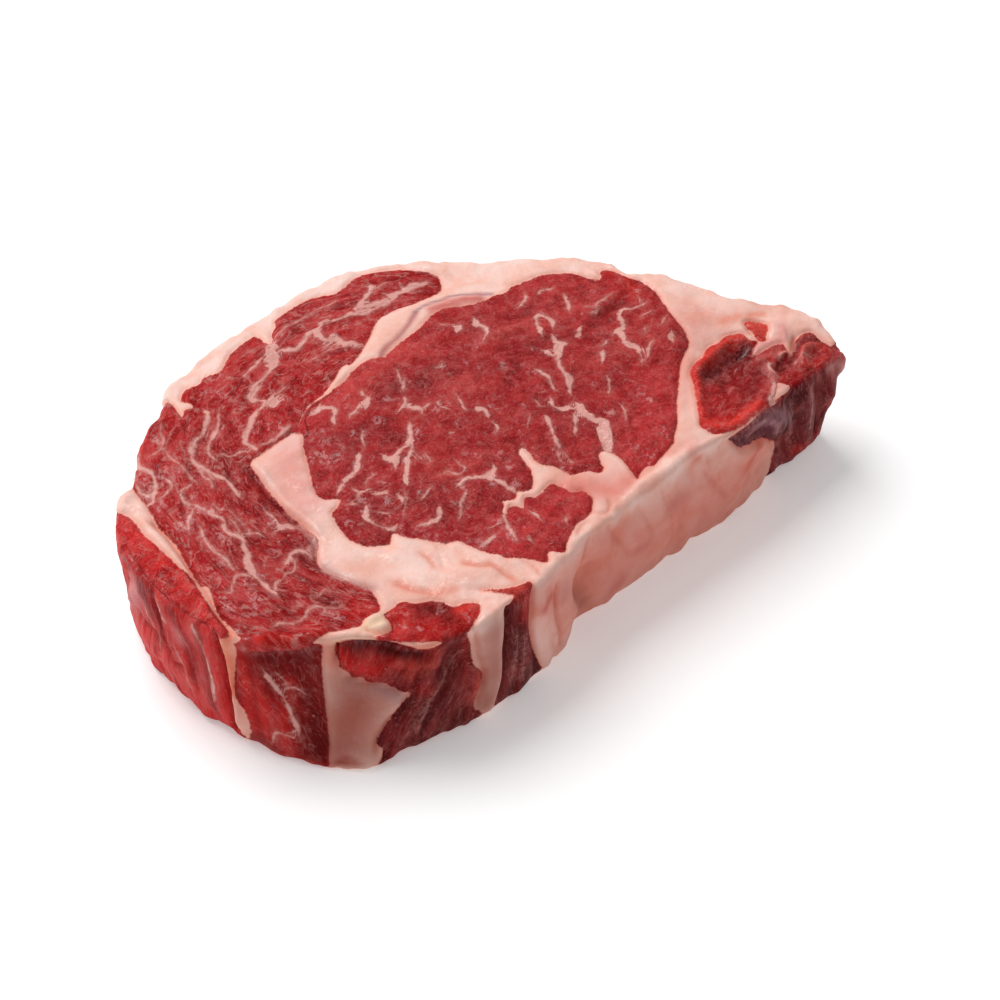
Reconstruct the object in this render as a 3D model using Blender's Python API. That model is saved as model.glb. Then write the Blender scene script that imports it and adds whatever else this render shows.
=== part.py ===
"""Raw boneless ribeye steak: one thick slice of meat and fat, lying flat on its cut face.

The steak is one solid. Its rim is a closed curve through named stations, which stand in four runs: the
front (where the ribs were), the tail, the back and the lip. The wall is lofted from the rim down to the
foot, and the cut face is a sheet of cells between the rim and a spine along the middle, raised and
lowered by soft swells. Sizes are in millimetres, measured from the middle of the slice, and +X runs
along its length.
"""

import math

import bmesh
import bpy
import numpy as np

MM = 0.001

# The slice
THICKNESS = 36.0
FOOT_INSET = 6.0      # the flat face that rests, inside the foot
EDGE_ROUND = 2.2      # radius of the rim's and the foot's soft edges
WALL_BELLY = 0.7      # how far the wall swells out half way up

# The mesh
CELLS_LONG = 52       # cells along the front run and along the back run
CELLS_SHORT = 26      # cells along the tail run and along the lip run, an even number
WALL_LEVELS = (0.10, 0.24, 0.38, 0.52, 0.66, 0.79, 0.90)
EDGE_STEPS = (0.35, 1.0)

# Rim stations, anticlockwise from above: x, y, how far the rim stands above or below the thickness,
# and how far the foot stands out from under the rim.
FRONT = (
    (-85, -40, 0.0, 0.8),
    (-77, -45, 0.0, 6.2),
    (-68, -49, 0.5, 10.0),
    (-60, -55, 0.5, 8.2),
    (-52, -61, 0.0, 0.3),
    (-42, -63.5, -0.5, -3.0),
    (-32, -62.5, 0.0, -2.5),
    (-22, -61.5, 0.3, -3.5),
    (-13, -58.5, 0.3, -2.2),
    (-7, -56, 0.0, -2.0),
    (0, -53.5, -0.8, -5.5),
    (8, -51.5, -1.2, -3.3),
    (23, -49, 0.0, -3.3),
    (38, -46, 0.3, -2.8),
    (52, -45, 0.0, -3.0),
)
TAIL = (
    (63, -42.5, -0.5, -4.0),
    (74, -39.5, -1.0, -3.8),
    (84, -37.5, -2.0, -4.0),
    (90, -35.5, -2.5, -2.5),
    (93.3, -31, -2.2, -1.0),
    (94.8, -26, -1.0, -2.5),
    (94, -21.5, -0.5, -5.0),
    (91, -15.5, -0.5, -6.0),
    (85, -10, 0.0, -6.0),
    (80, -4, 0.0, -4.5),
    (76, 5, 0.0, -3.5),
    (70, 12.5, 0.0, -3.0),
)
BACK = (
    (64, 18, 0.0, -3.0),
    (61, 26, 0.2, -3.0),
    (54, 33, 0.0, -3.0),
    (46, 39.5, 0.0, -3.0),
    (36, 43.5, 0.2, -2.5),
    (27, 50, 0.0, -2.5),
    (18, 55, 0.3, -2.5),
    (7, 59, 0.3, -2.5),
    (-6, 61, 0.0, -2.0),
    (-22, 59, 0.0, -2.0),
    (-40, 56, -0.3, -2.0),
    (-54, 50.5, 0.0, -2.5),
    (-61, 47.5, 0.0, -2.5),
)
LIP = (
    (-65, 41, 0.0, -2.0),
    (-71, 37.5, 0.0, -2.0),
    (-78, 30, 0.0, -2.0),
    (-84, 22.5, 0.0, -2.0),
    (-90, 18.5, -0.3, -1.5),
    (-94, 12, -0.5, -1.0),
    (-96, 2, 0.0, -1.0),
    (-96, -9, 0.0, -1.0),
    (-94, -21, 0.0, -0.8),
    (-90.5, -31, 0.0, -0.8),
)

# The spine that the cut face's cells gather on
SPINE_START = (-58.0, -4.0)
SPINE_END = (60.0, -14.0)

# Swells and hollows of the cut face: x, y, reach along, reach across, turn in degrees, height
SWELLS = (
    (-10, 0, 42, 26, 20, 1.4),      # the eye, its near half
    (30, 2, 34, 26, -25, 1.2),      # the eye, its far half
    (-74, 4, 10, 34, -8, 1.0),      # the cap, down its outer side
    (-42, 40, 40, 9, 18, 0.8),      # the cap, along the back
    (-50, -36, 14, 26, 35, -0.9),   # the seam of fat between the cap and the eye
    (5, 42, 30, 5, -4, -0.8),       # the seam of fat behind the eye
    (64, -24, 12, 7, 40, -2.6),     # the scooped middle of the tail's muscle
    (80, -31, 7, 9, 10, -1.6),      # the tail's drooping end
    (55, -12, 7, 26, -38, 0.9),     # the ridge of fat before the tail
    (-54, -53, 9, 5, -30, -1.2),    # the dip behind the front corner
)

# Lumps and hollows of the wall: x, y, z, reach, height
LUMPS = (
    (-60, -62, 12, 12, 1.2),        # the front corner's belly
    (-45, -64, 28, 7, -2.6),        # the scoop under the front edge
    (-38, -63, 34, 5, 1.2),         # the lip over that scoop
    (-9, -57, 12, 8, 1.6),          # the end of the front flap
    (-1, -53, 20, 6, -2.2),         # the step behind the flap
    (24, -47, 14, 16, 0.9),         # the long bone side
    (93, -36, 29, 6, 5.0),          # the tail's knob
    (72, -39, 10, 9, -2.6),         # the hollow under the tail
    (-97, 6, 16, 17, -2.4),         # the lip, drawn in under its upper end
    (-93, -28, 10, 12, 0.8),        # the lip, standing out at its lower end
)


def closed_curve(stations):
    """Gives a function that walks the closed, smooth curve through the stations.

    Between two stations each column follows the Catmull-Rom cubic through its four neighbours.
    """
    points = np.array(stations, float)
    count = len(points)

    def walk(position):
        position = np.asarray(position, float) % count
        index = np.floor(position).astype(int) % count
        t = (position - np.floor(position))[:, None]
        before, here, after, beyond = (points[(index + step) % count] for step in (-1, 0, 1, 2))
        return 0.5 * (
            2 * here
            + (after - before) * t
            + (2 * before - 5 * here + 4 * after - beyond) * t ** 2
            + (3 * here - before - 3 * after + beyond) * t ** 3
        )

    return walk


def even_stations(walk, start, end, count):
    """Points at even distances along the curve from one station to another, the last one left out."""
    fine = np.linspace(start, end, 400)
    steps = np.linalg.norm(np.diff(walk(fine)[:, :2], axis=0), axis=1)
    reached = np.concatenate([[0.0], np.cumsum(steps)])
    wanted = np.linspace(0.0, reached[-1], count + 1)[:-1]
    return walk(np.interp(wanted, reached, fine))


def rim_ring():
    """The whole rim, one row for each point: x, y, height difference and foot offset."""
    runs = (FRONT, TAIL, BACK, LIP)
    cells = (CELLS_LONG, CELLS_SHORT, CELLS_LONG, CELLS_SHORT)
    walk = closed_curve([station for run in runs for station in run])
    ring, start = [], 0
    for run, count in zip(runs, cells):
        end = start + len(run)
        ring.append(even_stations(walk, start, end, count))
        start = end
    return np.concatenate(ring)


def outward(ring):
    """The horizontal outward direction at each point of a ring."""
    along = np.roll(ring[:, :2], -1, axis=0) - np.roll(ring[:, :2], 1, axis=0)
    along /= np.linalg.norm(along, axis=1)[:, None]
    return np.stack([along[:, 1], -along[:, 0]], axis=1)


def swell(x, y):
    """The height that the swells add at points of the cut face: a sum of turned Gaussian bells."""
    total = np.zeros_like(x)
    for cx, cy, reach_u, reach_v, turn, height in SWELLS:
        c, s = math.cos(math.radians(turn)), math.sin(math.radians(turn))
        u = ((x - cx) * c + (y - cy) * s) / reach_u
        v = ((y - cy) * c - (x - cx) * s) / reach_v
        total += height * np.exp(-(u ** 2 + v ** 2))
    return total


def lump(x, y, z):
    """How far the lumps push the wall out at its points: a sum of round Gaussian bells."""
    total = np.zeros_like(x)
    for cx, cy, cz, reach, height in LUMPS:
        far = (x - cx) ** 2 + (y - cy) ** 2 + (z - cz) ** 2
        total += height * np.exp(-far / reach ** 2)
    return total


def wall_rings(rim):
    """The rings of the wall from the resting face up to the rim, each an array of x, y, z."""
    side = outward(rim)
    top = THICKNESS + rim[:, 2]
    rings = []

    def add(height, inset):
        """One ring at a share of the wall's height, drawn in by inset from the wall's own line."""
        share = np.clip(height / top, 0.0, 1.0)
        stand = rim[:, 3] * (1 - share) ** 1.5 + WALL_BELLY * np.sin(math.pi * share) - inset
        x, y = rim[:, 0] + side[:, 0] * stand, rim[:, 1] + side[:, 1] * stand
        grown = lump(x, y, height) * np.sin(math.pi * np.clip(share, 0.04, 0.96)) ** 0.5
        x, y = x + side[:, 0] * grown, y + side[:, 1] * grown
        rings.append(np.stack([x, y, height + swell(x, y) * share ** 4], axis=1))

    flat = np.zeros(len(rim))
    add(flat, FOOT_INSET)
    for step in EDGE_STEPS:
        angle = step * math.pi / 2
        add(flat + EDGE_ROUND * (1 - math.cos(angle)), EDGE_ROUND * (1 - math.sin(angle)))
    for share in WALL_LEVELS:
        add(EDGE_ROUND + share * (top - 2 * EDGE_ROUND), 0.0)
    for step in reversed(EDGE_STEPS):
        angle = step * math.pi / 2
        add(top - EDGE_ROUND * (1 - math.cos(angle)), EDGE_ROUND * (1 - math.sin(angle)))
    return rings


def face_cells(edge):
    """The cut face inside its edge ring: a grid of x, y, z rows by columns, whose rim is that ring.

    Each cell corner lies between the spine and the edge, at a share set by its depth in the grid.
    """
    middle = CELLS_SHORT // 2
    grid = np.zeros((CELLS_SHORT + 1, CELLS_LONG + 1, 3))
    spine_start, spine_end = np.array(SPINE_START), np.array(SPINE_END)
    for row in range(CELLS_SHORT + 1):
        for column in range(CELLS_LONG + 1):
            depth = min(row, CELLS_SHORT - row, column, CELLS_LONG - column)
            across, high = CELLS_LONG - 2 * depth, CELLS_SHORT - 2 * depth
            if row == depth:
                share, position, along = (column - depth) / across, 0.0, True
                on_edge = share * CELLS_LONG
            elif row == CELLS_SHORT - depth:
                share, along = (column - depth) / across, True
                on_edge = CELLS_LONG + CELLS_SHORT + (1 - share) * CELLS_LONG
            elif column == depth:
                share, along = (row - depth) / high, False
                on_edge = 2 * CELLS_LONG + CELLS_SHORT + (1 - share) * CELLS_SHORT
            else:
                share, along = (row - depth) / high, False
                on_edge = CELLS_LONG + share * CELLS_SHORT
            index = int(on_edge) % len(edge)
            part = on_edge - int(on_edge)
            rim_point = edge[index] * (1 - part) + edge[(index + 1) % len(edge)] * part
            spine_share = share if along else float(column > CELLS_LONG / 2)
            spine_point = spine_start + (spine_end - spine_start) * spine_share
            reach = 1 - depth / middle
            grid[row, column, :2] = spine_point + (rim_point[:2] - spine_point) * reach
            rim_rise = rim_point[2] - THICKNESS - swell(*rim_point[:2])
            grid[row, column, 2] = THICKNESS + rim_rise * reach ** 3 + swell(*grid[row, column, :2])
    return grid


def steak_mesh():
    """The slice's closed mesh, centred on the origin and standing on z = 0."""
    rings = wall_rings(rim_ring())
    around = len(rings[0])
    grid = face_cells(rings[-1])
    low = np.min([ring.min(axis=0) for ring in rings], axis=0)
    high = np.max([ring.max(axis=0) for ring in rings], axis=0)
    middle = np.array([(low[0] + high[0]) / 2, (low[1] + high[1]) / 2, 0.0])

    mesh = bpy.data.meshes.new("ribeye_steak")
    shape = bmesh.new()
    corners = [[shape.verts.new((point - middle) * MM) for point in ring] for ring in rings]
    for lower, upper in zip(corners, corners[1:]):
        for i in range(around):
            beside = (i + 1) % around
            shape.faces.new((lower[i], lower[beside], upper[beside], upper[i]))

    edge = corners[-1]
    face = {}
    for row in range(CELLS_SHORT + 1):
        for column in range(CELLS_LONG + 1):
            if row == 0:
                face[row, column] = edge[column]
            elif column == CELLS_LONG:
                face[row, column] = edge[CELLS_LONG + row]
            elif row == CELLS_SHORT:
                face[row, column] = edge[2 * CELLS_LONG + CELLS_SHORT - column]
            elif column == 0:
                face[row, column] = edge[around - row]
            else:
                face[row, column] = shape.verts.new((grid[row, column] - middle) * MM)
    for row in range(CELLS_SHORT):
        for column in range(CELLS_LONG):
            turn = ((row, column), (row, column + 1), (row + 1, column + 1), (row + 1, column))
            shape.faces.new([face[key] for key in turn])

    foot = [shape.edges.get((corners[0][i], corners[0][(i + 1) % around])) for i in range(around)]
    bmesh.ops.triangle_fill(shape, edges=foot, use_beauty=True, normal=(0.0, 0.0, -1.0))
    bmesh.ops.recalc_face_normals(shape, faces=shape.faces)
    shape.to_mesh(mesh)
    shape.free()
    return mesh


def raw_beef():
    """The finish of the lean: moist red, hardly glossy."""
    material = bpy.data.materials.new("raw_beef")
    material.use_nodes = True
    shader = material.node_tree.nodes["Principled BSDF"]
    shader.inputs["Base Color"].default_value = (0.42, 0.045, 0.050, 1.0)
    shader.inputs["Roughness"].default_value = 0.42
    shader.inputs["Metallic"].default_value = 0.0
    return material


def main():
    """Clears the scene and builds the steak."""
    for old in list(bpy.data.objects):
        bpy.data.objects.remove(old, do_unlink=True)
    mesh = steak_mesh()
    mesh.materials.append(raw_beef())
    mesh.shade_smooth()
    steak = bpy.data.objects.new("ribeye_steak", mesh)
    bpy.context.scene.collection.objects.link(steak)


if __name__ == "__main__":
    main()
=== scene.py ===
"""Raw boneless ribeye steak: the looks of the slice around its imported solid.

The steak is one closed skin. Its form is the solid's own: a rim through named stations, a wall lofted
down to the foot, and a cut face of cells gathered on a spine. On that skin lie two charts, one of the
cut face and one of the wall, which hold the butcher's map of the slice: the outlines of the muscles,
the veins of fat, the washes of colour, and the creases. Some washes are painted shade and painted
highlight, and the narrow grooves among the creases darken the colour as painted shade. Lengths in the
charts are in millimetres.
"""

from __future__ import annotations

import itertools
import logging
import math
from dataclasses import dataclass, field
from enum import Enum

import bpy
import numpy as np
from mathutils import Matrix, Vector

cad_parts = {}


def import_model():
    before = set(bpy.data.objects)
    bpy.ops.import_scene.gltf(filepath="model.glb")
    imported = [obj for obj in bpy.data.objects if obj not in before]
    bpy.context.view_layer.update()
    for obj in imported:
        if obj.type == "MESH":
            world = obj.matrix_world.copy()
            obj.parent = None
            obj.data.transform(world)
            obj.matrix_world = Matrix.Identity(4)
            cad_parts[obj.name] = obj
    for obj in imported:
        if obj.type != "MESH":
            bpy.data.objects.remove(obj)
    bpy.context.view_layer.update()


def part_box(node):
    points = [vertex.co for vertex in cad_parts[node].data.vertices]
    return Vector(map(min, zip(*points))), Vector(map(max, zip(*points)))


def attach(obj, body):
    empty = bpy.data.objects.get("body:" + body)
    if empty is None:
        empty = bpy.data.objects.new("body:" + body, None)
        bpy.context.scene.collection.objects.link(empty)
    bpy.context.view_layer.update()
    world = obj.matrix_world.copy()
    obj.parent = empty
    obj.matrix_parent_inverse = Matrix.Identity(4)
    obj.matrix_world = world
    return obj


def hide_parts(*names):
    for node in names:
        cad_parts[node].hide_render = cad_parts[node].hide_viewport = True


log = logging.getLogger("ribeye")

MM = 0.001
NODE = "ribeye_steak"
Points = tuple[tuple[float, float], ...]


# ---------------------------------------------------------------------------------------------------
# The map of the cut face, in millimetres from the middle of the slice
# ---------------------------------------------------------------------------------------------------

EYE = (
    (64.5, 13), (64.8, 10), (64.6, 6), (63.7, 3), (62.3, -3), (61.8, -8.5), (60, -13), (58, -15),
    (53, -19), (49.5, -23), (46.5, -26.5), (43.5, -30), (40, -35), (36, -39), (34.5, -40.5), (30, -42.5),
    (26, -44), (24.5, -43.3), (21.5, -44.5), (20, -45.5), (20.1, -43), (20.8, -38), (19.5, -34),
    (18, -33), (17, -33.5), (16, -35.5), (15.5, -37.5), (14.5, -38.5), (13, -38), (12, -36.5),
    (9, -35.5), (7.5, -35), (5.5, -31), (2.5, -28), (2.7, -25), (2.5, -22), (1.5, -21.5), (0.5, -23),
    (-0.3, -29), (-2.5, -33), (-3.8, -34.2), (-6.5, -33.5), (-7.3, -33), (-8, -34.3), (-9.5, -35),
    (-12.3, -34), (-12.5, -35.3), (-14, -37), (-13.5, -38), (-12.5, -36.8), (-11.3, -36.3), (-10, -37.5),
    (-8.8, -38.5), (-7, -35.8), (-5.5, -36), (-4, -37), (0, -35.5), (1.8, -35.3), (2.5, -36.2),
    (3.8, -40), (6.3, -41), (7, -43), (7.2, -44.5), (6, -46.3), (4.5, -47.8), (2, -48.7), (-0.5, -49.2),
    (-4, -51.5), (-7, -54), (-8, -55.5), (-9.5, -56), (-12, -54), (-13.3, -55), (-14.5, -56.8),
    (-17, -54.3), (-18.5, -52.5), (-20.5, -51.2), (-22, -50), (-22.6, -48), (-24, -46.8), (-25.5, -44.5),
    (-27.5, -39.5), (-28.5, -38.4), (-30, -38), (-31.5, -37), (-35, -33), (-38, -30), (-38.8, -28.3),
    (-40, -28), (-41.5, -30), (-43, -29.9), (-47, -28), (-48.6, -25), (-49.2, -22), (-48.8, -16),
    (-48.2, -14.2), (-46.5, -13.7), (-44.8, -12.5), (-44.3, -11.3), (-45.3, -10.5), (-47, -9.5),
    (-47.9, -7.5), (-47.3, -4), (-44.5, 3), (-42, 9.5), (-40.2, 12.5), (-40, 14.2), (-39, 17), (-34, 21),
    (-29, 22), (-23, 23.5), (-20, 24.8), (-17.5, 26), (-14, 27), (-11, 27), (-8, 26), (-6.5, 26.5),
    (-1, 28.5), (5, 30), (8, 31.5), (11.5, 33), (16, 33), (20, 31), (23, 30.3), (28.5, 30.2), (32, 29.6),
    (34.8, 31), (37, 31), (44, 30.2), (49.5, 28.3), (53, 24.8), (55.2, 21), (56.5, 20.8), (57.2, 22.3),
    (58.5, 22.9), (60.5, 21.5), (62.5, 16.5), (64, 14.5),
)
CAP = (
    (-40, 13.5), (-41, 15), (-43, 15.3), (-47, 14.3), (-50, 13.5), (-53, 12.8), (-55.5, 12), (-56.3, 10),
    (-56.7, 6), (-57, 0), (-57, -8), (-55.5, -17), (-55.5, -20), (-57, -22), (-59, -25), (-59.5, -28),
    (-58.8, -31), (-57.5, -33), (-55.5, -37), (-53.5, -40), (-54, -44.5), (-55, -46.8), (-57, -47),
    (-60, -47.6), (-61.5, -48.8), (-63, -48.5), (-66, -47.9), (-70, -47.1), (-74, -47.2), (-77, -51),
    (-84, -49), (-91, -43), (-86.6, -37), (-86.9, -30), (-86.8, -26), (-85, -19.5), (-86, -17), (-85.8, -13),
    (-84.5, -3), (-84.7, 5), (-84, 14), (-84, 20), (-82.5, 24), (-79.5, 30), (-74.5, 35), (-70, 38.5),
    (-65, 41.5), (-61.8, 42), (-61.7, 38), (-62, 35), (-60, 36.8), (-58, 36.5), (-57.5, 38),
    (-59, 40.5), (-58, 42.5), (-56, 44), (-52, 44), (-50, 45.5), (-45, 45.5), (-41.5, 48.5), (-39, 50.3),
    (-35, 51.5), (-31.5, 52.3), (-30.5, 51), (-30.3, 48.5), (-29.5, 47), (-28.5, 47.5), (-27, 50.5),
    (-25, 52), (-24, 54), (-22, 55), (-16, 56.3), (-12, 56.5), (-8, 56.2), (-6, 55.3), (-3, 55.3),
    (3, 57), (6, 56.5), (12, 54.3), (15.5, 52), (19.5, 48.5), (21, 46), (20.8, 44), (19, 40.8),
    (16, 40), (10, 40), (7, 40.8), (1.5, 41), (-1, 40.5), (-5, 36.8), (-9.5, 33), (-13, 30.3),
    (-15.5, 28.8), (-16.8, 28.5), (-17.5, 29.3), (-19.5, 28.8), (-23, 26), (-27, 23.8), (-29, 22.8),
    (-34, 21.3), (-38.5, 17.5),
)
TAIL_MUSCLE = (
    (44, -41.5), (43.8, -39.5), (45, -37), (48, -32), (51, -26.5), (53, -22.8), (55, -21), (57.5, -19.8),
    (60, -19), (62, -17.5), (64.5, -16.3), (67, -16.5), (69, -15.5), (71, -15.3), (73.5, -16),
    (74.8, -17.5), (74.7, -19.5), (76.7, -21), (74, -22.5), (72.5, -24), (73, -24.8), (76, -24.6),
    (79, -24.5), (81, -25.3), (81, -26.5), (80.5, -29), (82, -28.5), (85, -26), (88, -25.5), (90, -26),
    (90.5, -28), (91, -30), (92.5, -33), (96, -35), (92, -38), (84, -39), (76, -39.5), (73, -39.3),
    (70.6, -36.6), (68.5, -38.8), (65.5, -41), (62, -42.6), (59, -43.5), (56, -44), (53, -44.8), (50, -45),
    (47, -44.5), (44.5, -43.2),
)
TAIL_BIT = (
    (77, -14.5), (78.5, -14), (80, -15), (81.5, -16.5), (82, -18), (81, -19.5), (79.5, -20.5),
    (78.5, -22), (77, -21.5), (76.8, -20), (77.2, -18), (76.8, -16),
)
LIP_MUSCLE = (
    (-91.5, 16), (-89, 12), (-88.9, 4), (-88.2, -4), (-87.3, -10), (-86.7, -15), (-87.3, -19),
    (-87.6, -26), (-87.8, -33), (-89, -36), (-93, -37), (-99, -20), (-100, 6), (-97, 16),
)
FRONT_MUSCLE = (
    (-55, -51), (-55, -48.5), (-52, -48), (-50, -47.5), (-47, -49.5), (-43.5, -50.5), (-41, -53),
    (-40, -55), (-37, -56), (-34.8, -58), (-36.5, -60.5), (-40, -63), (-42, -66), (-50, -64),
    (-55, -60), (-60, -56.5), (-63, -54), (-60, -53.3), (-56, -53),
)
STRIPE_MUSCLE = (
    (-32, -54.7), (-30, -55.8), (-27, -57.8), (-23.5, -58.8), (-21.3, -59.2), (-22, -63), (-26, -65),
    (-27.5, -62), (-27, -60.3), (-29, -58), (-30.5, -56.2),
)

# Veins of the cap: half width, or one for each point, and the points
CAP_VEINS = (
    (0.28, (-71, 32), (-71.5, 28), (-71.3, 21), (-71, 16), (-70.5, 12)),
    (0.25, (-75.5, 27), (-73, 27.3), (-71, 28), (-70, 30), (-69, 33), (-68, 35)),
    (0.45, (-56, 34.5), (-56.3, 32), (-58, 29.5), (-60.5, 27), (-63, 25.5), (-65.5, 23.5), (-67, 20.5),
     (-67.5, 17.5), (-66, 14.5), (-65, 12), (-64.2, 9), (-64, 5), (-64, 2)),
    (0.38, (-53.5, 31), (-55.5, 28), (-57.5, 26), (-60, 24), (-62, 22), (-62.8, 19.5), (-62.5, 17)),
    (0.30, (-60.5, 18), (-59.5, 16.5), (-58, 16), (-56, 16), (-54.5, 15.3), (-53, 15.5)),
    (0.35, (-67.5, 17.5), (-68, 14), (-67.5, 11), (-68.5, 8)),
    (0.60, (-40, 34), (-43, 33), (-44.5, 31.8), (-43, 30.5), (-42, 29.5), (-42, 27.8), (-46, 26),
     (-48, 24.5), (-49.5, 22.5), (-51.5, 21), (-53.3, 18.7), (-52.4, 16.5), (-52.5, 14.5)),
    ((1.3, 1.5, 1.2), (-42.3, 27.3), (-40.5, 27), (-38.5, 26.5)),
    (0.35, (-50.5, 15.5), (-49, 15.2), (-46, 15.8), (-43, 16.5), (-41, 17.5)),
    (0.55, (-84, 13), (-82, 13), (-80.5, 15), (-79.5, 17), (-78.5, 18.5), (-78, 22), (-79, 25),
     (-79.5, 27), (-77.5, 28.5)),
    (0.45, (-82, 14.5), (-83, 17), (-82.8, 20)),
    (0.35, (-81, 13), (-79, 12.5), (-77.5, 13.5), (-76, 15), (-76, 18)),
    (0.35, (-75.5, 11.5), (-73, 12), (-71.5, 12.5)),
    (0.35, (-75.5, 11.5), (-76, 8), (-75.2, 5.5), (-73.5, 3), (-72, 0)),
    (0.35, (-80, -1), (-79.5, 0), (-78, 2.5), (-76.5, 3.8), (-75.5, 4.5)),
    (0.35, (-77, -1), (-78, -4), (-78.5, -7), (-78.3, -10), (-77.5, -13), (-77.5, -18.5)),
    ((0.3, 0.3, 0.4, 0.4, 0.4, 0.5, 0.6, 0.5, 0.8, 0.8, 0.8, 0.6, 0.4, 0.4, 0.5),
     (-74, 4), (-73, 1.5), (-72, -1), (-71.2, -3), (-72.5, -5), (-72.7, -7), (-71.5, -8.8), (-71, -11),
     (-72, -14), (-73, -17), (-73.8, -20), (-74.2, -23), (-74, -26), (-73.5, -29), (-73, -31)),
    (0.30, (-71, -3), (-69.8, -4), (-69.8, -7), (-70.8, -8.8)),
    (0.25, (-71, 3), (-70.5, 0.5), (-69, 1)),
    (0.25, (-69, 0), (-68, -2.5), (-68, -7)),
    (0.30, (-70.5, -9), (-68.5, -9.3), (-67, -10.5), (-65.8, -12.3)),
    (0.35, (-74.8, -22.5), (-75.8, -21), (-77, -19.8), (-78.5, -20), (-80, -22), (-81.5, -24),
     (-82.5, -23)),
    (0.30, (-73.5, -29.5), (-71.5, -27.5), (-69.5, -26.3), (-67.5, -25.5), (-66, -26), (-64.5, -24),
     (-63.5, -22)),
    (0.45, (-66.5, -22.5), (-64.5, -21.5), (-62.5, -20.5), (-61, -20.3), (-60, -21.5), (-59.5, -23.5),
     (-58.5, -24.5)),
    (0.80, (-62, -12), (-60, -12), (-58, -12.5), (-57, -14), (-56.5, -17), (-57, -20), (-58.5, -23)),
    (0.30, (-61.5, -5), (-61, -8), (-61, -11), (-60, -12)),
    (0.35, (-78.5, -38), (-77, -37.3), (-75.5, -38), (-73.5, -39), (-71, -39.3), (-69, -38.5),
     (-67.5, -38.7), (-66, -40), (-64, -41), (-62, -41.3)),
    (0.25, (-66, -36.5), (-64, -35.5), (-62, -35)),
    (0.70, (-59.3, -28), (-58.2, -32), (-56.5, -35), (-54.5, -38), (-53.5, -40)),
)
CAP_BACK_VEINS = (
    ((0.9, 1.1, 1.3, 1.6, 1.3, 0.9), (-29.5, 47.5), (-30, 45), (-31, 43), (-32, 41), (-33.5, 39.3),
     (-34.5, 37.5)),
    (0.60, (-29, 43), (-27, 42), (-25.5, 41), (-24, 41.5), (-22, 42.5), (-20, 44), (-18, 44.8),
     (-16, 45.5), (-14, 46.5), (-12, 46)),
    (0.25, (-28.5, 47.3), (-26, 48.5), (-23, 49.5), (-20, 50), (-16, 51), (-12, 51.5), (-9, 51),
     (-6.5, 51.5)),
    (0.50, (-12, 45.8), (-9, 45.2), (-6, 45), (-3, 44), (0, 44.2), (4, 44), (7, 44.8), (10, 45.2),
     (14, 45), (17, 44.5)),
    ((0.4, 0.5, 0.7, 0.9, 0.9, 0.7, 0.5, 0.4), (-4, 46), (0, 45.8), (3, 45.2), (6, 45.4), (10, 45.6),
     (13, 45.8), (16, 45.2), (18, 44.5)),
    (0.55, (-4.5, 45.5), (-3, 47), (-1.5, 47.8), (0.5, 49), (2.5, 50), (3.7, 51), (3.2, 52)),
    (0.25, (4, 50), (6.5, 50.3), (9, 50.7)),
    (0.85, (-18, 44.5), (-17.5, 43), (-18, 41), (-16.5, 39.5), (-14.5, 40), (-14, 38), (-13.5, 36.5),
     (-12, 35), (-10.5, 34)),
    (0.25, (-25, 35), (-22, 35.5), (-19, 35.8), (-16, 35.5), (-14, 34.8), (-12.5, 33.5), (-11.5, 32)),
    (0.25, (-18.5, 37.5), (-17, 37.2), (-15.5, 36.5), (-14, 36)),
    (0.40, (-34, 38), (-36, 37), (-38, 36), (-40, 35.5), (-41.5, 35), (-43, 34)),
    (0.30, (-40, 29), (-38, 29), (-36, 29.8), (-34.5, 30.2)),
    (0.40, (-33.5, 43), (-36, 42), (-38, 41), (-40.5, 39.8), (-42, 39.3)),
    (0.30, (-46, 40.5), (-44.5, 41)),
)
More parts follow.
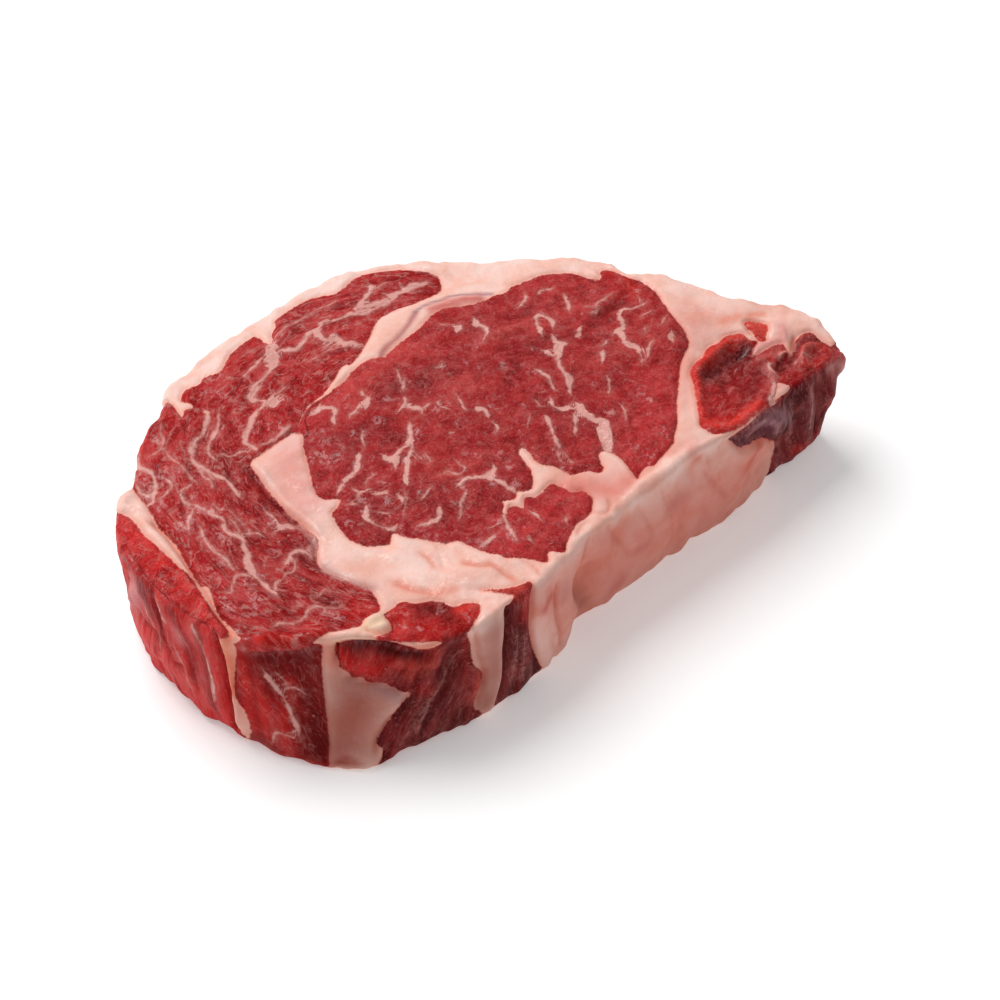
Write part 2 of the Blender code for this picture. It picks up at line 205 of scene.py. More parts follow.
EYE_FAR_VEINS = (
    (0.40, (-35, 17.8), (-33, 18), (-31.5, 19), (-31, 19.8)),
    (0.40, (-31.5, 18.8), (-30, 17.2), (-28.8, 16), (-30, 14.5), (-31, 13), (-31.8, 11.5)),
    (0.25, (-27.5, 11), (-26.3, 12), (-25, 12.4), (-23.5, 13.2), (-22.7, 13.8)),
    (0.50, (-22.5, 12), (-21.5, 13), (-20.5, 14), (-19.5, 14.6)),
    (0.25, (-20, 15.5), (-20.3, 16.5), (-19.7, 17.5)),
    (0.22, (-11.5, 11), (-10.5, 13), (-10, 15), (-9.3, 17), (-8.6, 19)),
    (0.20, (0, 14.3), (1.2, 13.7), (2.3, 14.5)),
    (0.35, (-17, 5.3), (-15, 6.3), (-13.5, 7), (-12.8, 8.5)),
    (0.30, (-14.5, 6.2), (-13, 5), (-12, 4), (-11.5, 3), (-12, 1.5)),
    (0.20, (-11.5, 3.3), (-10, 3), (-8.5, 3.8)),
    (0.25, (-28, 4), (-28.8, 3), (-29.5, 1.5), (-30, 0)),
    (0.80, (12.6, 22.8), (13.9, 23.7)),
    (0.15, (10.5, 29), (10.8, 27), (12, 26), (14, 25)),
    ((0.5, 0.5, 0.45, 0.4, 0.35, 0.3, 0.25, 0.2, 0.15), (18.8, 24.5), (18, 23), (17.8, 22), (18.6, 21),
     (18.7, 19.5), (18.3, 18), (17, 17), (16, 16), (15.2, 15)),
    (0.35, (29.3, 9), (30, 11), (31, 13.5), (32, 15.5), (33, 16), (34, 15), (34.5, 13.5), (34.8, 12),
     (33.5, 10)),
    (0.45, (31.5, 7.5), (31, 5.5), (31.5, 3.5), (32.5, 2.7)),
    (0.50, (31, 4), (30, 2.5), (29, 1), (28, -0.5), (27, -2)),
    (0.35, (26, 4), (26.5, 2.5), (27, 1), (28, 0)),
    (0.35, (37, 3.5), (37.5, 4.5), (38.5, 5.5), (39.5, 6)),
    (0.30, (41, 13.5), (42, 15.5), (43, 17.5), (43.5, 19), (44, 19.8)),
    (0.25, (31, 22), (33, 23), (34.5, 24), (35.3, 25.5)),
    (0.20, (38, 23.5), (39.5, 24.5), (41, 24), (43, 23.5)),
    (0.20, (45.5, 12), (48, 11.5), (49.5, 12.2), (52, 12.8), (55, 13.2)),
    (0.20, (45, 9.5), (46.5, 9.3), (48, 9.8)),
    ((0.5, 0.45, 0.4, 0.4, 0.4, 0.35, 0.3, 0.25, 0.2, 0.2, 0.2), (45.5, -0.5), (47.5, 0), (49, 0.8),
     (50, 2), (50.3, 4), (51.5, 5.5), (53, 6.2), (54.5, 5.2), (56, 5), (58, 5.3), (60, 5.5)),
    (0.18, (58, 5.5), (59, 7), (60, 8.5)),
    (0.20, (55.5, 1), (57.5, 1.3), (59.5, 1.5)),
)
EYE_NEAR_VEINS = (
    (0.35, (-44, -10), (-42, -9), (-40.5, -7.8), (-39, -6.9), (-37, -6.1), (-35.5, -5.2), (-34.3, -3.8),
     (-33, -2.3), (-32.5, -1.6)),
    (0.20, (-44.5, -14), (-43, -14.8), (-41.5, -15.5)),
    (0.20, (-40, -10.5), (-39.8, -13), (-41, -14.2)),
    (0.35, (-39.5, -13), (-38, -13), (-37, -13.3)),
    (0.18, (-36.5, -11), (-35.5, -9.8), (-34, -9.7), (-33, -9.8)),
    (0.15, (-33.5, -12.5), (-33, -13.5), (-32, -14.3)),
    (0.30, (-36.8, -15), (-35, -15.8), (-34, -16), (-34, -17)),
    ((0.25, 0.35, 0.45, 0.3, 0.25, 0.2, 0.25, 0.45, 0.45), (-40.2, -17), (-41, -18.5), (-42, -19.8),
     (-42.3, -21), (-42.2, -22.5), (-41.5, -24), (-40.5, -25.2), (-39.5, -26.5), (-38, -26.5)),
    (0.18, (-39, -20.5), (-38, -21.5), (-36.8, -22.5)),
    ((0.25, 0.3, 0.5, 0.5, 0.35, 0.25), (-28.4, -5), (-28, -6.5), (-27, -7.6), (-26.5, -8.5),
     (-27.5, -10), (-28, -11)),
    ((0.45, 0.4, 0.3, 0.45, 0.5, 0.4, 0.3, 0.3, 0.25), (-26.5, -8), (-25, -7), (-23, -6.2), (-21, -5.8),
     (-20, -5), (-19, -3.5), (-18, -1.8), (-17, -0.5), (-16.5, 0.2)),
    ((0.3, 0.3, 0.3, 0.45, 0.4, 0.25, 0.35, 0.65), (-19.7, -6), (-21, -7.5), (-22.5, -9), (-24, -10.5),
     (-25.3, -12), (-26.5, -13.5), (-27.5, -15), (-28.3, -16.5)),
    (0.15, (-21.5, -9), (-21.2, -11), (-21, -12.5)),
    (0.18, (-19.5, -10.5), (-19.2, -12), (-19.5, -13.5), (-20.5, -14)),
    (0.35, (-31.8, -18.5), (-32.3, -19), (-32, -20.5), (-32.5, -21.5)),
    (0.18, (-28.5, -23.5), (-27, -22.7), (-25.5, -21.8), (-24, -21)),
    ((0.15, 0.25, 0.35, 0.4, 0.45, 0.35, 0.25, 0.15), (-34, -29.5), (-32, -30.3), (-30.5, -30.9),
     (-29, -31), (-27.7, -30.5), (-27, -29.3), (-26.4, -28), (-26, -27.3)),
    (0.15, (-34.5, -25), (-33.5, -23.5), (-32, -22), (-31, -20.5), (-30, -18)),
    (0.40, (-10, -8.2), (-9.6, -8.2)),
    ((0.28, 0.25, 0.2, 0.15, 0.12), (-2.3, -3.5), (-2.4, -2.2), (-1.8, -0.8), (-1.6, 1), (-1.5, 3)),
    ((0.3, 0.4, 0.4, 0.3, 0.25), (0.2, -4.2), (0, -4.8), (1.2, -5.7), (1.5, -7), (0.8, -8.5)),
    (0.30, (0.8, -11.3), (1, -12.5), (0.3, -13.5), (-0.2, -14)),
    (0.18, (-18.8, -18.7), (-18, -18.2), (-17.3, -18.8), (-17, -20), (-16, -21.2), (-14.5, -20.8),
     (-13.5, -19.5), (-14, -18), (-14, -16)),
    (0.22, (-7.5, 0.7), (-6.5, 0), (-5.7, -0.8)),
    (0.22, (-7.7, 0.8), (-7, 2), (-6, 3)),
    (0.15, (7, -17), (8, -15.8), (9.5, -14.5), (10.2, -13.8)),
    ((0.25, 0.3, 0.35, 0.4, 0.45, 0.5), (-7.5, -34), (-7.8, -32), (-8.5, -30), (-9.5, -28),
     (-10.3, -26.5), (-11, -25.2)),
    ((0.3, 0.35, 0.45, 0.5, 0.35, 0.3, 0.3, 0.3), (-7.2, -22.7), (-7.8, -24), (-9, -24.8), (-11, -24.9),
     (-13, -24.2), (-15.5, -23.5), (-17.5, -23.6), (-18.7, -24)),
    (0.22, (-17.3, -26.5), (-18.5, -27.5), (-20.5, -29), (-22, -31), (-23, -32.5), (-24, -33.3)),
    ((0.3, 0.28, 0.25, 0.2, 0.18), (-13.5, -37.3), (-15, -39.3), (-16, -42), (-16.3, -45),
     (-16.8, -47.3)),
    (0.25, (-25, -43.7), (-23, -43.5), (-21, -43), (-20, -42.5)),
    (0.20, (-20, -40), (-16.5, -40)),
    (0.30, (-8.6, -40.5), (-8.4, -42.5), (-8.2, -45)),
    (0.25, (-14, -49.5), (-13.5, -47.5)),
    (0.18, (-3.5, -49), (-2.5, -47.5), (-2.3, -46)),
    ((0.35, 0.3, 0.3, 0.25, 0.25, 0.2, 0.18), (12.8, -16.5), (12.6, -18.5), (11.8, -20), (11, -22),
     (10.3, -24), (10, -26), (9.5, -27.5)),
    (0.15, (10, -27), (10, -31), (9.8, -32.5)),
    (0.18, (8.5, -27.5), (8, -29.5), (7.8, -31)),
    ((0.25, 0.3, 0.35, 0.45, 0.4, 0.3, 0.25), (17.3, -12), (17, -13), (16.8, -14.5), (17.5, -15.7),
     (19, -16.7), (20.5, -17.5), (21.5, -18.2)),
    ((0.3, 0.55, 0.7, 0.45, 0.55, 0.8, 0.5), (22, -16), (22, -18), (21.5, -19.5), (22, -21.5),
     (23, -23.5), (24, -25), (24.3, -27)),
    ((0.45, 0.4, 0.3, 0.25, 0.15), (19.5, -19.5), (18.8, -21), (17.5, -22.7), (16.3, -24),
     (15.5, -25.5)),
    ((1.0, 1.0, 1.0, 0.8, 0.75), (23, -26), (22.5, -28), (21.5, -30), (20.5, -32), (20, -34)),
    ((0.65, 0.45, 0.5, 0.4, 0.25, 0.25, 0.5, 0.45, 0.35, 0.2), (29.5, 3), (28.8, 1), (27.5, -1),
     (26.5, -3), (25.7, -5), (25.5, -6.5), (25.8, -8), (24.7, -10), (23.3, -11.7), (22.5, -13.5)),
    (0.25, (20.2, -1), (20.8, -3), (21.5, -5), (20.9, -6.5), (20.5, -8.5), (20.4, -10)),
    (0.18, (14, -10), (14, -12), (14.5, -13)),
    (0.30, (38.8, -4.7), (38, -5.5), (37, -7), (36.2, -8.3)),
    (0.20, (34, -13), (33.5, -14.5), (32.5, -16.5), (31.2, -18)),
    (0.18, (28.5, -23.5), (27.5, -25)),
    (0.18, (31.3, -22.5), (31, -25), (30, -27), (29, -28)),
    ((0.3, 0.45, 0.5, 0.5, 0.4, 0.25, 0.25, 0.2), (47.5, -1), (46.3, -3), (45.8, -5), (46.5, -7),
     (47, -9), (46.3, -10.5), (45.5, -12.5), (44.5, -14)),
    (0.25, (52, -8.5), (50.5, -9.3), (49, -10.5), (47.8, -12), (46.8, -13)),
    (0.45, (57.5, -8.8), (56.7, -10), (55.8, -11.5)),
    (0.20, (53.5, -3), (52.5, -4.5)),
    (0.18, (60.5, -2.5), (59, -3.5), (57.5, -4.5)),
    (0.20, (42.5, -1.5), (41, -2.3), (39.5, -3)),
)
TAIL_VEINS = (
    ((1.0, 0.9, 0.6, 0.3), (86, -22), (84, -25), (82, -28), (80.5, -29.5)),
    (0.25, (76.5, -29.3), (78, -28.3), (79.8, -27.8), (80.8, -28.8)),
    (0.25, (80, -32.3), (81.5, -31.5), (83, -31.3), (84.5, -31.8), (85.5, -32.7)),
    (0.25, (72.5, -29), (73, -30.5), (71.5, -32), (71.2, -33.5), (71.8, -35)),
    (0.50, (70, -36), (68.5, -38), (66.5, -40), (64, -42)),
)

# ---------------------------------------------------------------------------------------------------
# The map of the wall: millimetres along the rim from the front corner, and height
# ---------------------------------------------------------------------------------------------------

LIP_WALL = (
    (-96, 40), (-77, 40), (-76.5, 35), (-75, 30), (-71, 28), (-65, 28.5), (-61, 32), (-59, 40),
    (-10.8, 40), (-10, 34), (-8.8, 28), (-7.6, 20), (-6.9, 12), (-7.2, 5), (-7.5, -4), (-104, -4),
    (-102, 10), (-98, 24),
)
CORNER_WALL = (
    (-4.2, 40), (-4.6, 32), (-5.2, 24), (-5.6, 19), (-4.4, 15), (-3, 11), (-2.4, 5), (-3, -4),
    (13.2, -4), (14.4, 4), (15, 12), (15, 20), (15.2, 28), (15.8, 33), (15.2, 34.6), (13.2, 35.4),
    (12.4, 40),
)
FRONT_WALL = (
    (18.5, 31.5), (19.6, 29), (19.4, 27.4), (21.5, 26.6), (22.4, 24.6), (25, 24.8), (27, 23.2), (30, 23.4),
    (33, 21.4), (36, 20), (34.5, 17), (33, 15), (31.5, 13),
    (30, 11), (29, 9), (28, 7), (30, 5), (29, 2), (28, -4), (56, -4), (54, 3), (52, 6), (53, 10),
    (54.5, 15), (54, 18), (52, 22), (51.5, 28), (50, 34), (49, 40), (44, 40), (44.5, 35.5), (42.5, 32.6),
    (39.5, 32.8), (36, 34), (31, 34.8), (28, 35), (24, 34.9), (20, 34.4),
)
STRIPE_WALL = (
    (62.5, 40), (62, 30), (61.4, 25), (61, 22), (60.8, 15), (60.3, 10), (59.3, 6), (58.5, -4), (76, -4),
    (74, 5), (72, 10), (70.5, 15), (69.5, 20), (69, 25), (69.5, 30), (70, 34), (70.5, 40),
)
TAIL_WALL = (
    (140, 34), (143, 33), (147, 28), (152, 26), (157, 24), (162, 19), (166, 15), (168, 10), (167, 4),
    (166, -4), (204, -4), (203, 8), (199, 20), (196, 28), (196.5, 33), (199, 40), (160, 40), (157, 35.5),
    (148, 34.5),
)

WALL_VEINS = (
    ((0.2, 0.34, 0.24, 0.2, 0.2, 0.28, 0.2), (2, 27.5), (3, 24.5), (5, 21.5), (6, 20), (7, 17), (8, 13),
     (9, 9.5)),
    (0.17, (5, 21.5), (8, 23), (10, 22), (11, 21)),
    (0.16, (3, 5), (3.5, 8), (5, 9), (9, 8.5)),
    (0.14, (5, 27), (6.3, 25), (7.5, 23.5)),
    (0.24, (-17, 34), (-15, 29), (-13, 24), (-11.5, 17), (-11, 12)),
    (0.16, (-15, 30), (-13.5, 26), (-12, 20), (-12, 8)),
    (0.22, (-29, 33), (-27.5, 30), (-26, 28)),
    (0.22, (-28, 24), (-27, 22), (-26, 20)),
    (0.20, (-22.5, 27), (-21.5, 25)),
    (0.14, (-36, 26), (-33, 20), (-30, 14)),
    (0.14, (-24, 22), (-21, 14), (-19, 8)),
    (0.07, (34, 5), (37, 10), (39, 15), (42, 19), (46, 24), (49, 28)),
    (0.06, (37, 7), (39, 13), (41, 18)),
    (0.06, (64, 8), (64.5, 16), (65, 24)),
    (0.06, (67.5, 5), (66.8, 14), (67, 22)),
    (0.09, (175, 30), (177, 20), (180, 10)),
    (0.08, (169, 28), (171, 18), (174, 9)),
)

# ---------------------------------------------------------------------------------------------------
# Colours and marks
# ---------------------------------------------------------------------------------------------------


@dataclass(frozen=True)
class Swatch:
    """A paint colour, its parts from 0 to 255 as a painter would mix them."""

    red: float
    green: float
    blue: float

    def linear(self) -> np.ndarray:
        """The colour as light: each part to the power that undoes the display's curve."""
        parts = np.array((self.red, self.green, self.blue)) / 255.0
        return np.where(parts <= 0.04045, parts / 12.92, ((parts + 0.055) / 1.055) ** 2.4)


class Ground(Enum):
    """The sheet that a mark is drawn on."""

    FACE = "cut face"
    WALL = "wall"


@dataclass(frozen=True)
class Flow:
    """The way that a muscle's fibres run: in arcs about a centre, which lies far off where they run
    straight. Squeeze shortens the arcs, so that a pattern read there is drawn out along the fibres."""

    centre: tuple[float, float]
    squeeze: float

    def read(self, places: np.ndarray) -> np.ndarray:
        """The distance from the centre, and the squeezed length of arc at the places' mean distance.

        Args:
            places: points of the ground, one row each.

        Returns:
            The two numbers for each place.
        """
        offset = places - np.array(self.centre)
        far = np.hypot(offset[:, 0], offset[:, 1])
        turn = np.arctan2(offset[:, 1], offset[:, 0])
        first = turn[len(turn) // 2]
        turn = (turn - first + math.pi) % (2 * math.pi)
        return np.column_stack([far, turn * far.mean() * self.squeeze])


@dataclass(frozen=True)
class Muscle:
    """One muscle where it is cut: its outline, its lean's colour, how marbled, how far it domes, and
    how its fibres run."""

    name: str
    ground: Ground
    outline: Points
    lean: Swatch
    fleck: float = 0.5
    dome: float = 0.4
    flow: Flow | None = None


# Lean
EYE_RED = Swatch(172, 38, 41)
CAP_RED = Swatch(178, 29, 32)
BRIGHT_RED = Swatch(196, 28, 24)
PALE_RED = Swatch(208, 58, 60)
LIP_RED = Swatch(206, 38, 40)
WALL_RED = Swatch(216, 42, 42)
DEEP_RED = Swatch(122, 14, 18)
DARK_RED = Swatch(104, 18, 20)
TAIL_RED = Swatch(166, 30, 32)
MAROON = Swatch(100, 14, 20)
# Fat
CREAM = Swatch(246, 210, 200)
SEAM_FAT = Swatch(240, 196, 184)
BLOCK_FAT = Swatch(230, 172, 165)
PINK_FAT = Swatch(226, 158, 146)
SALMON = Swatch(216, 130, 114)
YELLOW_FAT = Swatch(240, 206, 176)
ORANGE_FAT = Swatch(226, 120, 86)
BROWN_FAT = Swatch(165, 92, 80)
SILVERSKIN = Swatch(150, 112, 124)
MEMBRANE = Swatch(120, 72, 80)

MUSCLES = (
    Muscle("eye", Ground.FACE, EYE, EYE_RED, fleck=0.20, dome=0.5),
    Muscle("cap", Ground.FACE, CAP, CAP_RED, fleck=0.60, dome=0.4,
           flow=Flow((-14.0, -6.0), 0.38)),
    Muscle("tail", Ground.FACE, TAIL_MUSCLE, TAIL_RED, fleck=0.25, dome=0.3,
           flow=Flow((40.0, 10.0), 0.5)),
    Muscle("tail_bit", Ground.FACE, TAIL_BIT, Swatch(222, 70, 58), fleck=0.0, dome=0.2),
    Muscle("lip", Ground.FACE, LIP_MUSCLE, LIP_RED, fleck=0.4, dome=0.3),
    Muscle("front", Ground.FACE, FRONT_MUSCLE, Swatch(176, 22, 22), fleck=0.08, dome=0.2),
    Muscle("stripe", Ground.FACE, STRIPE_MUSCLE, Swatch(170, 50, 44), fleck=0.1, dome=0.1),
    Muscle("lip_wall", Ground.WALL, LIP_WALL, WALL_RED, fleck=0.14, dome=0.3),
    Muscle("corner_wall", Ground.WALL, CORNER_WALL, Swatch(140, 8, 8), fleck=0.12, dome=0.3),
    Muscle("front_wall", Ground.WALL, FRONT_WALL, DARK_RED, fleck=0.1, dome=0.3),
    Muscle("stripe_wall", Ground.WALL, STRIPE_WALL, Swatch(104, 22, 24), fleck=0.1, dome=0.2),
    Muscle("tail_wall", Ground.WALL, TAIL_WALL, MAROON, fleck=0.15, dome=0.3),
)

# Soft tints along a line: swatch, strength at its middle, reach, points
FACE_FAT_TINTS = (
    (CREAM, 0.9, 9, (-56, 47), (-35, 54), (-10, 58.5), (15, 54), (34, 42), (50, 34)),
    (BLOCK_FAT, 0.9, 6, (-45, 10), (-50, 2), (-51, -8)),
    (CREAM, 0.7, 5, (-50, -22), (-44, -32), (-38, -46)),
    (PINK_FAT, 0.75, 6, (8, -40), (16, -44), (22, -47), (34, -44)),
    (Swatch(220, 125, 112), 0.7, 3, (4, -38), (9, -42), (13, -46), (17, -46)),
    # Painted highlight: a pale line along the fat's shoulder ridge by the rim.
    (CREAM, 0.8, 1.5, (9, -52), (15, -49.6), (20, -47.6), (26, -47), (34, -45.5)),
    (CREAM, 0.8, 2, (29, -45.5), (31, -46.5)),
    (PINK_FAT, 0.7, 7, (50, -32), (56, -14), (66, -8)),
    (CREAM, 0.6, 4.0, (76, 2), (70, 10), (62, 24)),
    (YELLOW_FAT, 0.9, 2.6, (-60, -50), (-57, -50)),
    (YELLOW_FAT, 0.6, 1.6, (-28.3, -16.5), (-28, -17.5)),
    (YELLOW_FAT, 0.6, 1.6, (57.5, -8.8), (58, -9.8)),
    (ORANGE_FAT, 0.7, 1.5, (-89, -27), (-88.5, -31), (-88, -35)),
    (ORANGE_FAT, 0.45, 1.6, (73, -11), (77, -11.5)),
    (Swatch(222, 160, 152), 0.9, 2.0, (70.5, -38.6), (72.5, -37.6)),
    (ORANGE_FAT, 0.6, 1.4, (80, -13), (83, -14)),
    (ORANGE_FAT, 0.35, 1.0, (-37.5, -37), (-36.8, -40), (-37.2, -43)),
    (ORANGE_FAT, 0.45, 0.9, (-31, -45.5), (-28.5, -48.5), (-26, -50), (-25, -53), (-24, -57)),
    (ORANGE_FAT, 0.5, 1.3, (-47, -42), (-45, -46), (-41, -49.8), (-37, -51)),
    (ORANGE_FAT, 0.8, 1.0, (-46, -59.5), (-43, -61), (-42, -63)),
    (Swatch(168, 104, 106), 0.8, 1.0, (-8.5, 26.8), (-6, 28.5), (-2, 30), (2, 31.8), (5, 33.7), (8, 36)),
    (SILVERSKIN, 0.8, 0.5, (8, 36.3), (12, 37), (17, 36.3), (20, 35.5), (25, 33.5), (29, 31)),
    (Swatch(205, 110, 104), 0.9, 1.5, (12, 34.6), (18, 33.6), (25, 31.4)),
    (CREAM, 0.8, 0.9, (29.5, 31), (32, 30.4), (34.5, 31)),
    (SILVERSKIN, 0.45, 1.6, (-59, -28), (-58, -33), (-55, -38), (-53, -40)),
    (Swatch(222, 156, 154), 0.8, 1.6, (72.5, -24.5), (75, -22.7), (79, -23.5), (82, -24), (84, -21)),
    (SALMON, 0.6, 3, (76, -28), (82, -30), (86, -33)),
)
FACE_LEAN_TINTS = (
    # Painted shade: a darker band along the lip's outer edge, where the rim rounds away.
    (Swatch(170, 40, 42), 0.9, 1.9, (-96, 10), (-96.2, -9), (-94.2, -21), (-90.8, -31)),
    # Painted highlight: a brighter red strip along the lip's rim, inside that band.
    (Swatch(224, 54, 50), 0.8, 1.2, (-90.6, 12), (-90.4, 2), (-89.5, -8), (-89.1, -18), (-89, -30)),
    (BRIGHT_RED, 0.8, 3.5, (-66, 39), (-72, 35), (-79, 28)),
    (BRIGHT_RED, 0.8, 2.4, (-62, -43), (-57, -45)),
    (Swatch(206, 44, 38), 0.8, 1.6, (-83, -40.4), (-76, -44.6), (-68, -48.6), (-63, -50.5)),
    (DEEP_RED, 0.5, 5.0, (-60, -28), (-62, -14), (-61.5, 0), (-60, 10)),
    (BRIGHT_RED, 0.6, 1.8, (-60, -36), (-58, -37)),
    (DEEP_RED, 0.7, 1.8, (-64, -39), (-61, -37.5)),
    (DEEP_RED, 0.35, 3.0, (-72, -34), (-74, -22), (-75, -8)),
    (PALE_RED, 0.65, 7.0, (-18, -45), (-6, -46), (2, -43)),
    (PALE_RED, 0.55, 7.0, (24, -37), (36, -30), (46, -20)),
    (PALE_RED, 0.5, 6.0, (-34, 15), (-18, 22), (-2, 25)),
    (PALE_RED, 0.4, 6.0, (36, 24), (48, 22), (54, 14)),
    # The next four washes lie over the eye's shallow grooves: darker red, partly the lean's own tone and partly
    # painted shade of the undulations.
    (DEEP_RED, 0.45, 5.0, (-16, 16), (-11, 19), (-8, 20)),
    (DEEP_RED, 0.45, 4.5, (-8, 9), (-3, 11), (1, 12.5)),
    (DEEP_RED, 0.60, 2.2, (-24, -2), (-22, -4), (-20, -3)),
    (DEEP_RED, 0.35, 4.0, (-30, 3), (-25, 5), (-22, 1)),
    (DEEP_RED, 0.40, 3.0, (-31, -22), (-25, -28), (-18, -30)),
    (DEEP_RED, 0.35, 4.0, (14, 2), (24, 8), (30, 6)),
    # Over the eye's groove at its far right: darker red, partly the lean's own tone and partly painted shade.
    (DEEP_RED, 0.5, 2.5, (45, 7.5), (55, 9.5)),
    (Swatch(208, 74, 70), 0.5, 4.0, (-24, 16), (-14, 24), (-2, 24)),
    (Swatch(208, 74, 70), 0.45, 4.0, (-16, 3), (-6, 2), (4, 4)),
    (Swatch(208, 74, 70), 0.45, 4.0, (14, 16), (24, 15.5), (34, 13.5), (44, 12.5)),
    (Swatch(208, 74, 70), 0.45, 4.0, (30, -8), (44, -6), (54, -6)),
    (Swatch(208, 74, 70), 0.40, 4.0, (-20, -16), (-8, -20), (4, -24)),
    (Swatch(208, 40, 30), 0.7, 3.0, (60, 11), (61, 16), (60, 22)),
    (Swatch(226, 56, 44), 0.95, 2.2, (54, -23), (57, -21.2), (61, -19.3), (65, -17.8), (70, -16.9), (73.5, -18)),
    (Swatch(224, 50, 40), 0.95, 2.2, (53.2, -23.6), (48.4, -31), (45.7, -37.8), (50, -42.8), (60, -41.6)),
    # Painted shadow in the tail's scoop: very dark red over its deep groove, and maroon along its lower side.
    (Swatch(80, 8, 18), 0.9, 2.0, (56, -25.4), (60, -24.4), (65, -23.2), (70, -22.4), (72, -21.2)),
    (MAROON, 0.6, 2.6, (58, -27), (64, -26), (70, -24.5)),
    (MAROON, 0.5, 2.6, (62, -36), (66, -33), (69.5, -30)),
    (Swatch(226, 140, 134), 0.9, 0.8, (69.6, -35.8), (70.8, -32.4), (70.4, -30)),
    (Swatch(214, 96, 92), 0.8, 0.9, (73, -26), (76, -27), (79, -26.4)),
    (Swatch(220, 60, 50), 0.9, 1.0, (82, -34), (82.6, -31.6), (85, -29.8), (88, -30), (89.6, -32)),
    (Swatch(226, 120, 110), 0.6, 0.6, (82.8, -32.2), (85, -30.2), (87.6, -30.2)),
    (Swatch(90, 10, 16), 0.8, 1.3, (84, -28), (87, -27.6), (89.4, -28.6)),
    # Painted shade in the small hollow under the tail's ring fold: the next two washes.
    (Swatch(84, 10, 16), 0.7, 1.0, (73.6, -33.5), (75, -31), (77.4, -30)),
    (DEEP_RED, 0.8, 1.6, (76.8, -32.5), (78.5, -31.3), (80, -31.2)),
    # Painted shade in the short groove under the tail's knob.
    (Swatch(70, 6, 8), 0.9, 0.8, (81.5, -36.3), (83, -36.2)),
    (BRIGHT_RED, 0.8, 1.8, (84, -36), (88, -35.5)),
    (Swatch(108, 8, 8), 0.8, 2.3, (-46.5, -52), (-43.5, -52.5), (-42.5, -55), (-43.5, -58)),
    (Swatch(216, 46, 36), 0.9, 1.6, (-39.5, -57), (-36.5, -58.5), (-37, -61)),
    (Swatch(206, 44, 40), 0.7, 2.0, (-53, -49.5), (-51, -51.5), (-55, -54)),
    (Swatch(206, 62, 52), 0.7, 1.4, (-32, -54), (-29, -56), (-25, -59)),
)
WALL_FAT_TINTS = (
    (PINK_FAT, 0.9, 9, (75, 30), (88, 24), (100, 26)),
    (SALMON, 0.9, 24, (96, 14), (120, 14), (150, 12)),
    (Swatch(206, 124, 108), 0.6, 5, (96, 3), (120, 2), (150, 2)),
    (CREAM, 0.5, 2.5, (100, 34), (120, 35), (138, 35)),
    (BROWN_FAT, 0.95, 12, (18, 6), (23, 18)),
    (SALMON, 0.7, 3, (16.5, 33), (18, 29)),
    (SILVERSKIN, 0.5, 2, (30, 22), (34, 19.5)),
    (BROWN_FAT, 0.8, 5, (55, 6), (57, 18), (57, 30)),
    (ORANGE_FAT, 0.85, 2.6, (-7.2, 36), (-6.6, 26), (-5.8, 18)),
    (PINK_FAT, 0.7, 2.0, (-4.8, 14), (-4.6, 3)),
    (ORANGE_FAT, 0.8, 2.6, (35, 31), (41, 33.5)),
    (YELLOW_FAT, 0.8, 2.4, (20, 35.5), (27, 35.5)),
    (Swatch(190, 70, 66), 0.7, 1.8, (73, 27), (76, 28)),
    (SILVERSKIN, 0.2, 2.0, (82, 26), (82, 23)),
    (Swatch(150, 86, 74), 0.5, 2.4, (88.5, 18), (91, 14), (95, 7)),
    (Swatch(212, 96, 70), 0.8, 1.4, (131, 34), (132.5, 33)),
    (Swatch(190, 84, 74), 0.55, 2.4, (104, 7), (106, 8)),
    (Swatch(190, 84, 74), 0.5, 2.4, (111, 17), (113.5, 16)),
    (Swatch(190, 84, 74), 0.45, 3.0, (124, 25), (127, 23)),
    (Swatch(206, 88, 66), 0.7, 2.6, (150, 18), (155, 23)),
    (CREAM, 0.8, 2.2, (190, 33), (193, 31)),
    (PINK_FAT, 0.7, 4, (258, 36), (266, 22), (264, 8)),
    (Swatch(214, 116, 102), 0.3, 2.2, (281, 30), (288, 20), (286, 8)),
    (PINK_FAT, 0.7, 5, (300, 8), (318, 14), (330, 8)),
    (Swatch(206, 104, 92), 0.3, 1.8, (335, 33), (342, 24), (344, 14)),
    (PINK_FAT, 0.6, 4, (356, 30), (368, 22), (380, 26)),
    (Swatch(214, 116, 102), 0.5, 2.5, (384, 10), (391, 16)),
)
